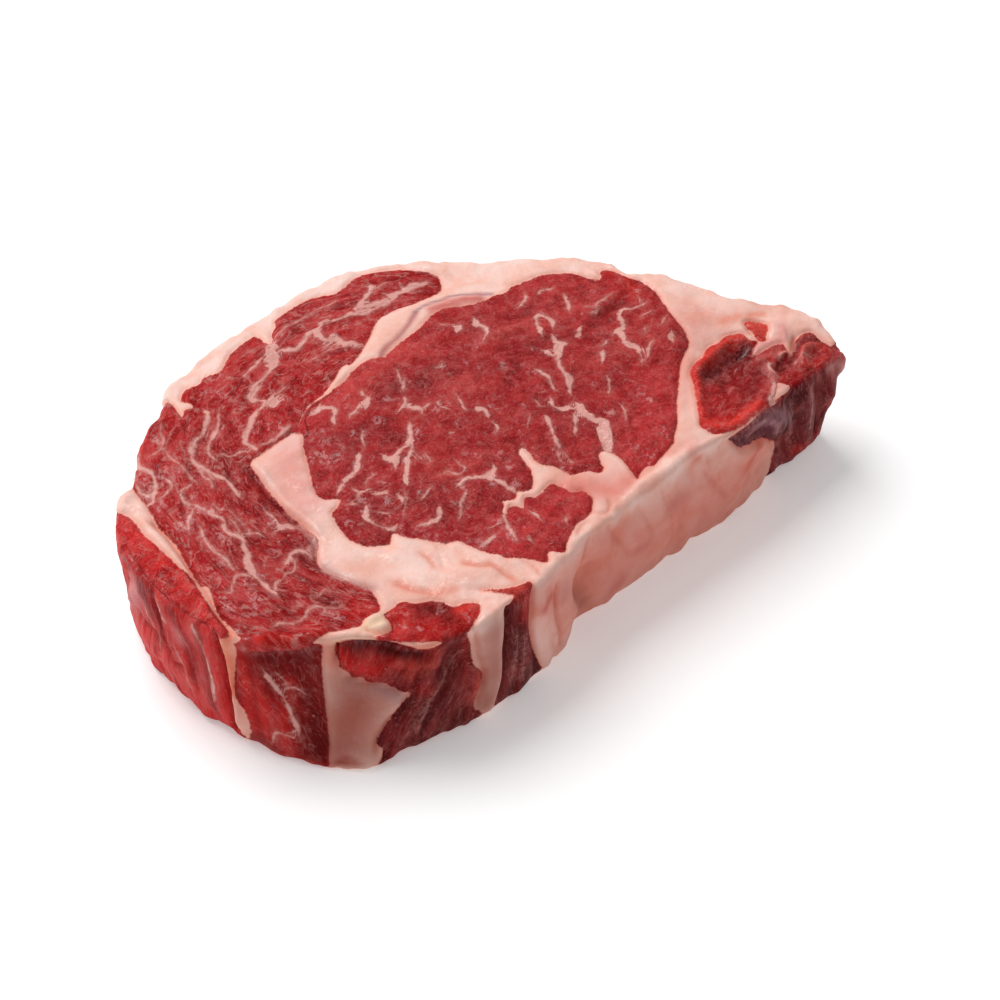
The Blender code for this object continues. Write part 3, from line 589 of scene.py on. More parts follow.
WALL_LEAN_TINTS = (
    (Swatch(214, 30, 26), 0.95, 2.6, (19.5, 31.5), (23, 28.6), (28, 27.2)),
    (Swatch(196, 34, 30), 0.7, 2.2, (28, 31), (36, 29), (41, 31)),
    # Painted shade under the overhanging red lip of the front wall.
    (DEEP_RED, 0.7, 2.2, (30, 25), (34, 23.6), (37, 21)),
    (Swatch(110, 22, 26), 0.8, 1.5, (29, 32.6), (33, 31.6), (37, 31.6), (40, 30.4)),
    (Swatch(214, 84, 70), 0.7, 1.0, (34, 29.6), (38, 29), (42, 27.4)),
    (BRIGHT_RED, 0.8, 2.6, (-3.5, 34), (-3, 26), (-2, 20), (-1, 8)),
    (Swatch(214, 40, 34), 0.8, 1.6, (0, 35.3), (12, 35.3)),
    (DEEP_RED, 0.8, 2.4, (2, 32), (12, 31.6)),
    (Swatch(96, 12, 12), 0.6, 2.6, (10, 26), (12, 14), (12, 4)),
    (Swatch(206, 30, 26), 0.6, 2.6, (-1, 22), (1, 16), (1, 8)),
    (Swatch(206, 30, 26), 0.5, 2.0, (7.5, 24), (6, 12), (6, 3)),
    (Swatch(232, 158, 158), 0.9, 3.6, (-39, 29), (-45, 20), (-52, 12), (-60, 2)),
    (Swatch(226, 84, 82), 0.9, 4.0, (-49, 7), (-38, 11), (-28, 12), (-22, 11)),
    (DEEP_RED, 0.75, 3.0, (-36, 32), (-32, 27), (-28, 21)),
    (DEEP_RED, 0.5, 3.0, (-24, 33), (-20, 26), (-17, 16)),
    (Swatch(232, 158, 158), 0.6, 2.0, (-22.5, 27), (-21.5, 24.5)),
    (Swatch(214, 108, 104), 0.5, 2.5, (-17, 34), (-14, 22), (-12.5, 8)),
    (DEEP_RED, 0.5, 4.0, (-62, 30), (-68, 22), (-74, 12)),
    (MAROON, 0.6, 3.0, (40, 17), (44, 13)),
    (Swatch(150, 26, 22), 0.7, 2.6, (50.5, 34), (50, 24), (50.5, 12), (52, 5)),
    (Swatch(176, 52, 44), 0.7, 2.4, (36, 26), (42, 29)),
    (Swatch(128, 18, 20), 0.6, 4.0, (32, 8), (33, 3)),
    (Swatch(150, 12, 14), 0.8, 1.6, (39, 22), (40, 19)),
    (Swatch(208, 74, 60), 0.8, 1.8, (53, 10), (53.5, 17)),
    (Swatch(182, 40, 36), 0.8, 3.0, (67.5, 36), (68, 29)),
    (Swatch(196, 40, 34), 0.8, 3.0, (185, 30), (190, 30.5)),
    (Swatch(190, 36, 30), 0.6, 4.0, (186, 18), (194, 24)),
    (BRIGHT_RED, 0.8, 6.0, (-100, 36), (-78, 36)),
    (Swatch(120, 14, 18), 0.8, 1.2, (-64, 33.5), (-60, 34), (-56, 32.5)),
    (Swatch(120, 14, 18), 0.8, 1.2, (-48, 34), (-44, 33), (-41, 34)),
    (Swatch(120, 14, 18), 0.7, 1.0, (-34, 34), (-31, 33)),
    (Swatch(224, 56, 52), 0.6, 3.0, (-70, 30), (-58, 27), (-44, 28)),
    (Swatch(112, 54, 66), 0.85, 3.6, (145, 30), (152, 28), (160, 27)),
    (Swatch(196, 150, 156), 0.6, 0.9, (150, 30), (156, 31), (160, 28), (163, 22)),
    (Swatch(188, 140, 148), 0.55, 0.8, (165, 30), (168, 24), (169, 17)),
    (Swatch(228, 186, 178), 0.85, 1.6, (182.5, 33), (185, 30.5), (186.4, 27.4)),
    (Swatch(206, 36, 34), 0.9, 1.6, (187, 35), (189.4, 31.5), (189.8, 27), (187, 23.5)),
    (Swatch(176, 22, 22), 0.9, 2.6, (176, 5), (184, 3), (192, 7)),
    (DARK_RED, 0.6, 4.0, (172, 8), (180, 13)),
    (Swatch(158, 112, 118), 0.7, 1.3, (157, 33.5), (162, 29.5), (166, 24)),
    (Swatch(134, 26, 28), 0.6, 3.0, (176, 28), (180, 20), (182, 10)),
)

# Ridges (height above zero) and grooves (below zero): height, reach, points. A groove narrower than 1.5 mm also
# darkens the colour there as painted shade.
FACE_CREASES = (
    # The eye's undulations
    (-0.55, 1.3, (24, 21), (27, 19.5), (30, 18.3), (33, 19.5), (36, 20.5)),
    (-0.30, 0.8, (36, 18.2), (38.5, 18), (40, 18.5)),
    (-0.65, 1.3, (44.5, 7), (48, 7.8), (52, 8.5), (55, 9), (57, 10)),
    (-0.50, 1.2, (20, 12.5), (23, 13), (26, 12.8), (28, 13.5)),
    (-0.40, 0.8, (15.5, 10), (18, 10), (20, 9.5)),
    (-0.30, 0.8, (10.5, 8.5), (13, 8.8), (15, 8.3)),
    (-0.40, 0.8, (27, 6), (29, 7), (31, 7), (33, 6)),
    (-0.35, 0.9, (35, 4.5), (40, 3.8), (45, 4.8), (50, 3.2)),
    (-0.30, 0.8, (12.5, 1), (16, 1), (18.5, 1.6)),
    (-0.35, 0.8, (36, 10), (40, 9.2), (43.5, 10)),
    (-0.35, 0.9, (45, 21), (48, 20.3), (51, 20.5)),
    (-0.40, 1.6, (-15, 17), (-12, 18.8), (-9, 20)),
    (-0.40, 2.2, (-7, 8.5), (-4, 11), (0, 12.2)),
    (-0.50, 1.6, (-24, -2.2), (-22, -3.8), (-20, -3.2)),
    (-0.35, 2.0, (-29, 3.5), (-25, 5.5), (-22, 2), (-21, -1)),
    (-0.25, 0.6, (-20, 10.2), (-16, 10.6)),
    (-0.40, 0.9, (25, -9), (30, -6.5), (34, -6.5)),
    (-0.35, 1.0, (45, -16), (49, -15.5), (53, -14)),
    (-0.35, 0.8, (0, -18), (4, -19.5), (8, -19)),
    (0.30, 1.4, (14, 14.5), (20, 15.5), (25, 15)),
    (0.30, 1.6, (36, 13.5), (42, 13), (47, 11.5)),
    (0.30, 1.5, (38, 6.5), (42, 6.5), (46, 10.5), (52, 11.3)),
    (0.30, 1.8, (-20, 13), (-12, 14.5), (-4, 16)),
    (-0.60, 0.8, (53.5, 22), (55, 19.5), (57, 18.8)),
    (0.50, 0.8, (55.5, 25.5), (56, 23), (56.2, 21.2)),
    # The step down from the fat block to the cap, and the fat's own folds
    (-0.90, 0.8, (-57.2, 11), (-57.8, 6), (-58, 0), (-58, -8), (-56.6, -16), (-57.5, -21), (-60, -26)),
    (0.70, 1.2, (-55.2, 10.5), (-55.4, 5), (-55.7, -1), (-55.6, -8), (-54, -16), (-54.5, -20)),
    (0.45, 1.4, (-29, -39.5), (-27, -43), (-24.5, -46.5), (-22.5, -49), (-19, -52.5), (-15.5, -56)),
    (0.50, 2.6, (-44, -41), (-38, -45.5), (-32, -49.5), (-29, -51)),
    (-0.45, 0.7, (-31, -45.5), (-28.5, -48.5), (-26, -50), (-25, -53), (-24, -57)),
    (-0.30, 0.6, (-37.5, -37), (-36.8, -40), (-37.2, -43)),
    (-0.30, 0.6, (-34, -40), (-35, -42.5), (-36, -44.5)),
    (-0.40, 0.8, (-48, -41), (-46, -45), (-43, -48), (-41, -49.8)),
    (-0.35, 0.5, (-35, -52.5), (-32.5, -53.7), (-30, -55)),
    (0.40, 1.0, (-33, -56), (-30.5, -58.5), (-28.5, -60.5)),
    (-0.35, 0.5, (-19.5, -52.5), (-18, -56), (-18.5, -60)),
    (0.60, 1.2, (-11, -54.5), (-13, -56.5), (-14, -59)),
    (0.55, 1.3, (10, -52), (15, -49.6), (20, -47.7), (26, -47.2), (32, -45.5), (40, -44)),
    (-0.45, 0.6, (4.5, -47.5), (7, -50.3), (9.5, -48.8), (10, -46.5)),
    (-0.40, 0.6, (8, -54), (9.8, -51.5), (12, -50)),
    (-0.40, 0.6, (-3.5, -53.2), (-0.5, -50.6), (3, -49.8)),
    (-0.35, 0.5, (7.5, -35.3), (10, -35.2), (12, -36)),
    (0.35, 1.0, (4, -38.5), (7, -36.5), (10, -37)),
    (0.50, 0.9, (29.5, 31.2), (32, 30.6), (34, 31)),
    (0.70, 1.1, (-60.5, -49), (-58, -48.3), (-56, -48.6)),
    (0.70, 1.0, (-56, -51), (-57.6, -51.6), (-59, -51)),
    (-0.25, 0.5, (-60, -49.8), (-58, -50), (-56, -49.6)),
    (-0.80, 0.5, (-61.5, -50), (-60, -52), (-57, -53.2), (-54.5, -52.3)),
    # Behind the eye: the silverskin and the fold over it
    (-0.16, 0.5, (-8, 27), (-5, 29), (0, 31), (4, 33), (7, 35), (11, 36.8), (17, 36), (23, 34.2), (29, 30.6)),
    (0.14, 0.8, (-4, 28.2), (1, 29.8), (6, 31.4), (10, 33.4), (16, 34.3), (22, 32.4)),
    # The cap's seams and its edge by the lip
    (-0.45, 0.8, (-66, -22), (-69, -12), (-68, -4), (-66, 6)),
    (-0.40, 0.8, (-79, -22), (-80, -12), (-80, -4)),
    (-0.40, 0.8, (-72, 26), (-66, 30), (-60, 33)),
    (-0.90, 0.7, (-87, -30), (-86.5, -22), (-85.8, -12), (-85.2, -2), (-85.3, 8)),
    (0.70, 1.0, (-89, -34), (-88.5, -24), (-87.5, -12), (-87.3, 0), (-87.2, 10)),
    (0.90, 1.7, (-84.5, -38.4), (-76.5, -43.2), (-68, -47)),
    (-0.80, 3.0, (-82, -34), (-75, -39), (-66, -42.5)),
    (0.80, 2.2, (-89, 16.5), (-87, 18.5), (-85, 20.5)),
    (-2.20, 3.4, (-96, 13), (-97.5, 2), (-97.5, -9), (-95.5, -21), (-91.5, -32)),
    # The front muscle's hollow and the ledge below it
    (-1.30, 2.6, (-47, -52.5), (-44, -54), (-42.5, -56)),
    (0.60, 1.0, (-47, -57.6), (-44, -58.1), (-42, -60), (-41.5, -62)),
    (0.80, 1.2, (-39.5, -57.5), (-37, -58.5), (-36, -60.5)),
    # The tail: a raised edge round a hollow, ring folds, a tongue of fat, a knob
    (1.40, 1.7, (45, -40.5), (46.8, -35), (50.3, -29), (54.4, -23.4), (59.2, -20.6), (65, -18.2),
     (70, -17.4), (73, -18.4)),
    (0.90, 1.5, (45.5, -42.6), (50, -43.8), (56, -43), (62, -41), (66, -38.6)),
    (-1.30, 1.9, (55.5, -25.4), (60, -24), (65, -22.8), (69.5, -22.2), (71.5, -21)),
    (0.80, 1.2, (63, -27.5), (68, -26), (71, -24)),
    (0.90, 0.6, (71, -35), (71.5, -32), (72.6, -29)),
    (-0.80, 0.8, (69.5, -35.5), (69.8, -32), (70.8, -28.5)),
    (1.00, 0.7, (74, -31.5), (76, -29.2), (79, -28), (81, -29)),
    (-0.80, 1.5, (76.8, -32.5), (78.5, -31.3), (80, -31.2)),
    (1.40, 0.8, (82, -34), (82.6, -31.6), (85, -29.8), (88, -30), (89.4, -31.8)),
    (-1.00, 1.0, (84.6, -32.6), (86.6, -32.2)),
    (-1.00, 0.8, (81.5, -36.3), (83, -36.2)),
    (0.50, 0.9, (73, -24.2), (75.5, -22.8), (79, -23.4), (82, -24)),
    (0.50, 0.8, (84, -21.5), (82.3, -25), (81, -28)),
    (-0.90, 0.7, (85.5, -24.5), (83.5, -27.5), (81.8, -30.5)),
    (1.20, 1.4, (84, -36.5), (87, -36), (88.5, -34.8)),
    (0.60, 1.0, (66, -41), (68.5, -38.5), (70.3, -36.6)),
    (-0.50, 1.4, (60, -35), (63, -31), (66, -29.5)),
    (0.50, 1.4, (52, -37), (56, -31), (59, -27.5)),
    (0.60, 1.4, (78, -16), (79.5, -18.5)),
    (-0.50, 0.6, (76.6, -15.5), (76.3, -19)),
)
WALL_CREASES = (
    (-1.50, 0.9, (-10.4, 37), (-8.7, 28), (-7.6, 20), (-6.9, 12), (-7.2, 2)),
    (0.60, 1.2, (-7.6, 36), (-6.8, 28), (-5.8, 18), (-4.8, 6)),
    (-0.80, 0.9, (-16, 36), (-14.5, 28), (-13, 18), (-12, 6)),
    (-0.70, 1.0, (-24, 35), (-22, 28), (-19.5, 20), (-17, 10)),
    (-0.80, 1.1, (-33, 35), (-30, 28), (-27, 22), (-25, 16)),
    (-0.60, 1.2, (-44, 34), (-46, 26), (-50, 17), (-55, 6)),
    (0.60, 2.2, (-40, 27), (-46, 18), (-53, 9), (-58, 2)),
    (1.10, 3.0, (-48, 8), (-38, 11), (-28, 12), (-22, 10)),
    (-0.90, 1.1, (-48, 14), (-40, 17), (-30, 17.5), (-21, 14.5)),
    (-0.80, 1.6, (-66, 30), (-70, 22), (-74, 12)),
    (-0.90, 1.6, (0.5, 32.5), (6, 32.8), (12, 32)),
    (0.60, 1.2, (-3, 35), (4, 35.2), (12, 34.8)),
    (-0.60, 1.5, (14.2, 33), (14.6, 22), (14.2, 12), (13, 2)),
    (-0.60, 1.0, (-1.4, 34), (-0.6, 24), (-0.4, 12), (0.4, 3)),
    (0.90, 1.6, (20, 31.5), (23, 28.5), (28, 26.5), (34, 26)),
    (-1.10, 1.0, (18, 33.5), (22, 34.4), (28, 34), (33, 33.6)),
    (0.70, 0.9, (18, 36), (24, 36.4), (29, 36), (34, 35.4)),
    (-1.00, 0.9, (28, 32.8), (32, 31.8), (36, 31.6), (40, 30.6)),
    (0.90, 1.2, (31, 29.8), (36, 29.4), (40, 28.4), (43, 26)),
    (0.70, 1.2, (38, 34.4), (42, 33.6), (44, 35)),
    (-0.60, 0.9, (19, 26), (24, 23.5), (30, 22.3), (35, 20.5)),
    (-0.70, 0.9, (35.5, 20), (34, 16), (31, 13), (28.5, 9), (28, 3)),
    (0.80, 1.4, (15.5, 4.5), (20, 6.2), (25, 5), (28, 3.5)),
    (-1.00, 1.1, (15, 1.5), (20, 3), (25, 2)),
    (-0.60, 0.9, (38, 6), (41, 14), (45, 22), (49, 31)),
    (-0.50, 0.8, (34, 4), (37, 11), (40, 19)),
    (-0.50, 0.8, (45, 5), (46.5, 14), (49, 24)),
    (-0.70, 0.8, (52, 35), (53.5, 24), (54.8, 16), (53, 6)),
    (0.60, 2.0, (57, 35), (57, 24), (57.5, 12), (56, 3)),
    (-1.10, 0.9, (62.6, 37), (61.8, 26), (61, 16), (60, 4)),
    (-0.50, 0.8, (65.8, 34), (65.6, 22), (66, 10)),
    (-0.80, 0.9, (70.4, 37), (69.6, 26), (70.2, 16), (73, 4)),
    (0.60, 1.6, (73.5, 36), (73, 26), (74.5, 14), (77, 5)),
    (-0.80, 0.9, (79, 30), (78, 21), (79.8, 12), (83, 4)),
    (0.50, 1.6, (84, 33), (83, 22), (86, 12)),
    (-1.20, 2.0, (88, 24), (89.5, 18), (92, 12), (97, 5)),
    (-0.50, 0.8, (93, 35), (91, 29), (89.5, 24)),
    (-0.45, 0.8, (99, 35), (101, 30), (104, 24), (108, 17)),
    (0.40, 1.2, (101, 36), (103, 31), (106, 26)),
    (-0.35, 0.8, (109, 34), (113, 26), (116, 18)),
    (-0.30, 0.8, (120, 30), (124, 22), (128, 12)),
    (-0.40, 1.0, (134, 28), (139, 20), (145, 10)),
    (-0.60, 0.9, (143, 33), (147, 28), (153, 25.5), (158, 23), (163, 18), (167, 10)),
    (0.60, 1.4, (150, 24), (156, 22), (161, 17), (165, 10)),
    (-1.00, 1.4, (146, 31), (152, 28.5), (158, 27)),
    (0.80, 1.6, (158, 31), (162, 28), (165, 22)),
    (-0.90, 0.8, (189.6, 33), (190.2, 29), (188.8, 25)),
    (0.50, 1.0, (182.5, 32.4), (185, 30), (186, 27)),
    (-1.20, 1.6, (166, 33), (169, 26), (173, 18), (175, 8)),
    (0.90, 1.8, (171, 32), (174, 24), (178, 16)),
    (-1.30, 1.4, (177, 31), (180, 22), (183, 13), (184, 6)),
    (1.20, 1.6, (182, 27), (185, 20), (187, 14)),
    (-1.10, 1.2, (184, 33), (186, 26), (190, 20), (193, 15)),
    (1.60, 2.2, (186, 32), (189, 29.5), (192, 28)),
    (-0.90, 1.2, (193, 33), (195, 26), (197, 18)),
    (-0.80, 1.6, (262, 34), (266, 22), (263, 8)),
    (-0.60, 1.5, (282, 35), (288, 21), (286, 6)),
    (-0.60, 1.2, (300, 36), (303, 24), (309, 12)),
    (-0.70, 1.6, (335, 35), (342, 24), (344, 10)),
    (-0.60, 1.4, (362, 34), (365, 20), (360, 8)),
    (0.70, 4.0, (272, 22), (296, 18), (320, 22)),
    (0.60, 3.0, (350, 12), (376, 16)),
)


# ---------------------------------------------------------------------------------------------------
# Lines, distances and noise
# ---------------------------------------------------------------------------------------------------


def smooth_line(points: Points, steps: int, closed: bool) -> np.ndarray:
    """Rounds a line off: between two points, the Catmull-Rom cubic through their four neighbours.

    Args:
        points: the line's own points.
        steps: how many pieces each stretch is cut into.
        closed: whether the line comes back to its first point.

    Returns:
        The finer points, one row each; the first is repeated at the end of a closed line.
    """
    line = np.asarray(points, float)
    count = len(line)
    if closed:
        index = np.arange(count)
        before, here, after, beyond = (line[(index + step) % count] for step in (-1, 0, 1, 2))
    else:
        padded = np.concatenate([line[:1], line, line[-1:]])
        before, here, after, beyond = padded[:-3], padded[1:-2], padded[2:-1], padded[3:]
    t = (np.arange(steps) / steps)[None, :, None]
    before, here, after, beyond = (part[:, None] for part in (before, here, after, beyond))
    fine = 0.5 * (
        2 * here
        + (after - before) * t
        + (2 * before - 5 * here + 4 * after - beyond) * t ** 2
        + (3 * here - before - 3 * after + beyond) * t ** 3
    )
    return np.concatenate([fine.reshape(-1, line.shape[1]), line[:1] if closed else line[-1:]])


@dataclass(frozen=True)
class Nearest:
    """What each asked point finds of a line: how far it is, on which side, and how far along."""

    far: np.ndarray
    side: np.ndarray
    along: np.ndarray
    length: float


def nearest_on_line(places: np.ndarray, line: np.ndarray, chunk: int = 6000) -> Nearest:
    """Finds, for each place, the nearest point of a line of straight pieces.

    The foot of the perpendicular on each piece is held between the piece's ends, and the piece with the
    shortest distance counts. The side is the sign of the cross product of the piece and the offset.

    Args:
        places: the asked points, one row each.
        line: the line's points, one row each.
        chunk: how many places are worked out at a time.

    Returns:
        Distances, signed distances and arc lengths, and the line's whole length.
    """
    start, piece = line[:-1], np.diff(line, axis=0)
    square = np.maximum((piece ** 2).sum(axis=1), 1e-12)
    reached = np.concatenate([[0.0], np.cumsum(np.sqrt(square))])
    far, side, along = [], [], []
    for first in range(0, len(places), chunk):
        offset = places[first:first + chunk, None] - start[None]
        t = np.clip((offset * piece).sum(axis=2) / square, 0.0, 1.0)
        rest = offset - t[..., None] * piece
        distance = np.sqrt((rest ** 2).sum(axis=2))
        best = distance.argmin(axis=1)
        row = np.arange(len(best))
        cross = piece[best, 0] * offset[row, best, 1] - piece[best, 1] * offset[row, best, 0]
        far.append(distance[row, best])
        side.append(np.where(cross < 0, -1.0, 1.0) * distance[row, best])
        along.append(reached[best] + t[row, best] * np.sqrt(square[best]))
    return Nearest(np.concatenate(far), np.concatenate(side), np.concatenate(along), reached[-1])


def inside_outline(places: np.ndarray, line: np.ndarray) -> np.ndarray:
    """Tells which places lie within a closed line: those whose rightward ray crosses it an odd number
    of times.

    Args:
        places: the asked points, one row each.
        line: the closed line, its first point repeated at the end.

    Returns:
        True or False for each place.
    """
    inside = np.zeros(len(places), bool)
    for (x0, y0), (x1, y1) in zip(line[:-1], line[1:]):
        if y0 == y1:
            continue
        spans = (places[:, 1] < y0) != (places[:, 1] < y1)
        crossing = x0 + (places[:, 1] - y0) * (x1 - x0) / (y1 - y0)
        inside ^= spans & (places[:, 0] < crossing)
    return inside


def within_reach(places: np.ndarray, line: np.ndarray, reach: float) -> np.ndarray:
    """The indices of the places inside the line's box grown by reach."""
    low, high = line.min(axis=0) - reach, line.max(axis=0) + reach
    return np.nonzero(((places >= low) & (places <= high)).all(axis=1))[0]


def step_between(low: float, high: float, value: np.ndarray) -> np.ndarray:
    """Rises from 0 at low to 1 at high along the cubic 3t squared less 2t cubed."""
    t = np.clip((value - low) / (high - low), 0.0, 1.0)
    return t * t * (3 - 2 * t)


def ripple(places: np.ndarray, cell: float, seed: int) -> np.ndarray:
    """Smooth noise from -1 to 1: a random value at each corner of a lattice of cubes, blended by
    smooth steps across each cube. The random values are hashed from the corner's whole numbers.

    Args:
        places: points, one row of three numbers each.
        cell: the side of a cube.
        seed: chooses the pattern.

    Returns:
        One value for each place.
    """
    scaled = places / cell
    base = np.floor(scaled).astype(np.int64)
    share = scaled - base
    share = share * share * (3 - 2 * share)
    total = np.zeros(len(places))
    for corner in itertools.product((0, 1), repeat=3):
        at = base + np.array(corner)
        mixed = (at[:, 0] * 73856093) ^ (at[:, 1] * 19349663) ^ (at[:, 2] * 83492791) ^ (seed * 2654435)
        mixed = ((mixed ^ (mixed >> 13)) * 1274126177) & 0x7FFFFFFF
        mixed = ((mixed ^ (mixed >> 15)) * 2246822519) & 0x7FFFFFFF
        weight = np.where(np.array(corner) == 1, share, 1 - share).prod(axis=1)
        total += weight * (mixed / 0x3FFFFFFF - 1.0)
    return total


# ---------------------------------------------------------------------------------------------------
# The slice's own form
# ---------------------------------------------------------------------------------------------------


@dataclass
class Slab:
    """The slice's form, as its solid has it, on a finer grid. Lengths are in millimetres."""

    thickness: float = 36.0
    foot_inset: float = 6.0
    foot_round: float = 2.2
    edge_round: float = 1.5
    wall_belly: float = 0.7
    cells_long: int = 320
    cells_short: int = 160
    wall_cells: int = 22
    edge_cells: int = 4
    spine: Points = ((-58.0, -4.0), (60.0, -14.0))
    # x, y, how far the rim stands above or below the thickness, how far the foot stands out
    front: tuple = (
        (-85, -40, 0.0, 1.8), (-77, -45, 0.0, 7.4), (-68, -49, 0.5, 10.6), (-60, -55, 0.5, 8.4),
        (-52, -61, 0.0, 0.9), (-42, -63.5, -0.5, -1.4), (-32, -62.5, 0.0, -0.2), (-22, -61.5, 0.3, -1.6),
        (-13, -58.5, 0.3, -1.2), (-7, -56, 0.0, -1.6), (0, -53.5, -0.8, -4.5), (8, -51.5, -1.2, -2.3),
        (23, -49, 0.0, -2.6), (38, -46, 0.3, -2.1), (52, -45, 0.0, -2.4),
    )
    tail: tuple = (
        (63, -42.5, -0.5, -3.6), (74, -39.5, -1.0, -2.9), (84, -37.5, -2.0, -4.0), (90, -35.5, -2.5, -3.4),
        (93.3, -31, -2.2, -1.0), (94.4, -26, -1.0, -2.5), (93.4, -21.5, -0.5, -5.0), (91, -15.5, -0.5, -6.0),
        (85, -10, 0.0, -6.0), (80, -4, 0.0, -4.5), (76, 5, 0.0, -3.5), (70, 12.5, 0.0, -3.0),
    )
    back: tuple = (
        (64, 18, 0.0, -3.0), (61.3, 26.4, 0.2, -3.0), (54, 33, 0.0, -3.0), (45.7, 39, 0.0, -3.0),
        (36, 43, 0.2, -2.5), (27, 49.7, 0.0, -2.5), (18, 54.7, 0.3, -2.5), (7, 58.7, 0.3, -2.5),
        (-6, 61, 0.0, -2.0), (-22, 58.4, 0.0, -2.0), (-39.8, 55.1, -0.5, -2.0), (-53.6, 49.8, -0.2, -2.5),
        (-60.5, 46.9, 0.0, -2.5),
    )
    lip: tuple = (
        (-64.6, 40.5, 0.0, -2.0), (-70.5, 36.9, 0.0, -2.0), (-77.3, 29.4, 0.0, -2.0),
        (-83.2, 22, 0.0, -2.0), (-89.2, 18, -0.3, -1.5), (-93.3, 11.6, -0.5, -1.0), (-95.6, 2, 0.0, -1.0),
        (-96, -9, 0.0, -1.0), (-94, -21, 0.0, -1.0), (-90.5, -31, 0.0, 0.0),
    )
    # x, y, reach along, reach across, turn in degrees, height
    swells: tuple = (
        (-10, 0, 42, 26, 20, 1.4), (30, 2, 34, 26, -25, 1.2), (-74, 4, 10, 34, -8, 1.0),
        (-42, 40, 40, 9, 18, 0.8), (-50, -36, 14, 26, 35, -0.9), (5, 42, 30, 5, -4, -0.8),
        (64, -24, 12, 7, 40, -2.6), (80, -31, 7, 9, 10, -1.6), (55, -12, 7, 26, -38, 0.9),
        (-54, -53, 9, 5, -30, -1.2),
    )
    # x, y, z, reach, height
    lumps: tuple = (
        (-60, -62, 12, 12, 1.2), (-45, -64, 28, 7, -2.6), (-38, -63, 34, 5, 1.2), (-9, -57, 12, 8, 1.6),
        (-1, -53, 20, 6, -2.2), (24, -47, 14, 16, 0.9), (93, -36, 29, 6, 4.2), (72, -39, 10, 9, -2.6),
        (-97, 6, 16, 17, -1.8), (-93, -28, 10, 12, 0.8),
    )

    def rim(self) -> np.ndarray:
        """The rim's points, at even distances along each of its four runs.

        Between two stations each column follows the Catmull-Rom cubic through its four neighbours.

        Returns:
            One row for each point: x, y, height difference and foot offset.
        """
        stations = np.array(self.front + self.tail + self.back + self.lip, float)
        fine_steps = 40
        curve = smooth_line(stations, fine_steps, closed=True)
        ring, start = [], 0
        for run, count in ((self.front, self.cells_long), (self.tail, self.cells_short),
                           (self.back, self.cells_long), (self.lip, self.cells_short)):
            end = start + len(run) * fine_steps
            stretch = curve[start:end + 1]
            reached = np.concatenate([[0.0], np.cumsum(np.hypot(*np.diff(stretch[:, :2], axis=0).T))])
            wanted = np.linspace(0.0, reached[-1], count + 1)[:-1]
            ring.append(np.stack([np.interp(wanted, reached, column) for column in stretch.T], axis=1))
            start = end
        return np.concatenate(ring)

    @staticmethod
    def outward(ring: np.ndarray) -> np.ndarray:
        """The level outward direction at each point: the ring's own direction, turned a quarter."""
        along = np.roll(ring[:, :2], -3, axis=0) - np.roll(ring[:, :2], 3, axis=0)
        along /= np.linalg.norm(along, axis=1)[:, None]
        return np.stack([along[:, 1], -along[:, 0]], axis=1)

    def swell(self, x: np.ndarray, y: np.ndarray) -> np.ndarray:
        """The height that the swells add: a sum of turned Gaussian bells."""
        total = np.zeros_like(x)
        for cx, cy, reach_u, reach_v, turn, height in self.swells:
            c, s = math.cos(math.radians(turn)), math.sin(math.radians(turn))
            u = ((x - cx) * c + (y - cy) * s) / reach_u
            v = ((y - cy) * c - (x - cx) * s) / reach_v
            total += height * np.exp(-(u ** 2 + v ** 2))
        return total

    def lump(self, x: np.ndarray, y: np.ndarray, z: np.ndarray) -> np.ndarray:
        """How far the lumps push the wall out: a sum of round Gaussian bells."""
        total = np.zeros_like(x)
        for cx, cy, cz, reach, height in self.lumps:
            total += height * np.exp(-((x - cx) ** 2 + (y - cy) ** 2 + (z - cz) ** 2) / reach ** 2)
        return total

    def wall(self, rim: np.ndarray) -> np.ndarray:
        """The rings of the wall, from the resting face up to the rim.

        At a share s of the height the wall stands out by foot offset times (1 - s) to the power 1.5,
        plus the belly times the sine of pi s, less the inset that rounds the two edges, plus the lumps.

        Args:
            rim: the rim's points.

        Returns:
            Rings by points by x, y, z.
        """
        top = self.thickness + rim[:, 2]
        flat, foot, edge = np.zeros(len(rim)), self.foot_round, self.edge_round
        levels = [(flat, inset) for inset in (self.foot_inset, 4.2, 2.6)]
        angles = np.linspace(0.0, math.pi / 2, self.edge_cells + 1)
        levels += [(flat + foot * (1 - math.cos(a)), foot * (1 - math.sin(a))) for a in angles[1:]]
        shares = np.linspace(0.0, 1.0, self.wall_cells + 1)[1:-1]
        levels += [(foot + share * (top - foot - edge), 0.0) for share in shares]
        levels += [(top - edge * (1 - math.cos(a)), edge * (1 - math.sin(a))) for a in angles[:0:-1]]
        return np.array([self.ring(rim, height, inset) for height, inset in levels])

    def ring(self, rim: np.ndarray, height: np.ndarray, inset: float) -> np.ndarray:
        """One ring of the wall.

        Args:
            rim: the rim's points.
            height: the ring's height at each of them.
            inset: how far it is drawn in from the wall's own line.

        Returns:
            Points by x, y, z.
        """
        side = self.outward(rim)
        share = np.clip(height / (self.thickness + rim[:, 2]), 0.0, 1.0)
        stand = rim[:, 3] * (1 - share) ** 1.5 + self.wall_belly * np.sin(math.pi * share) - inset
        x, y = rim[:, 0] + side[:, 0] * stand, rim[:, 1] + side[:, 1] * stand
        grown = self.lump(x, y, height) * np.sin(math.pi * np.clip(share, 0.04, 0.96)) ** 0.5
        x, y = x + side[:, 0] * grown, y + side[:, 1] * grown
        return np.stack([x, y, height + self.swell(x, y) * share ** 4], axis=1)

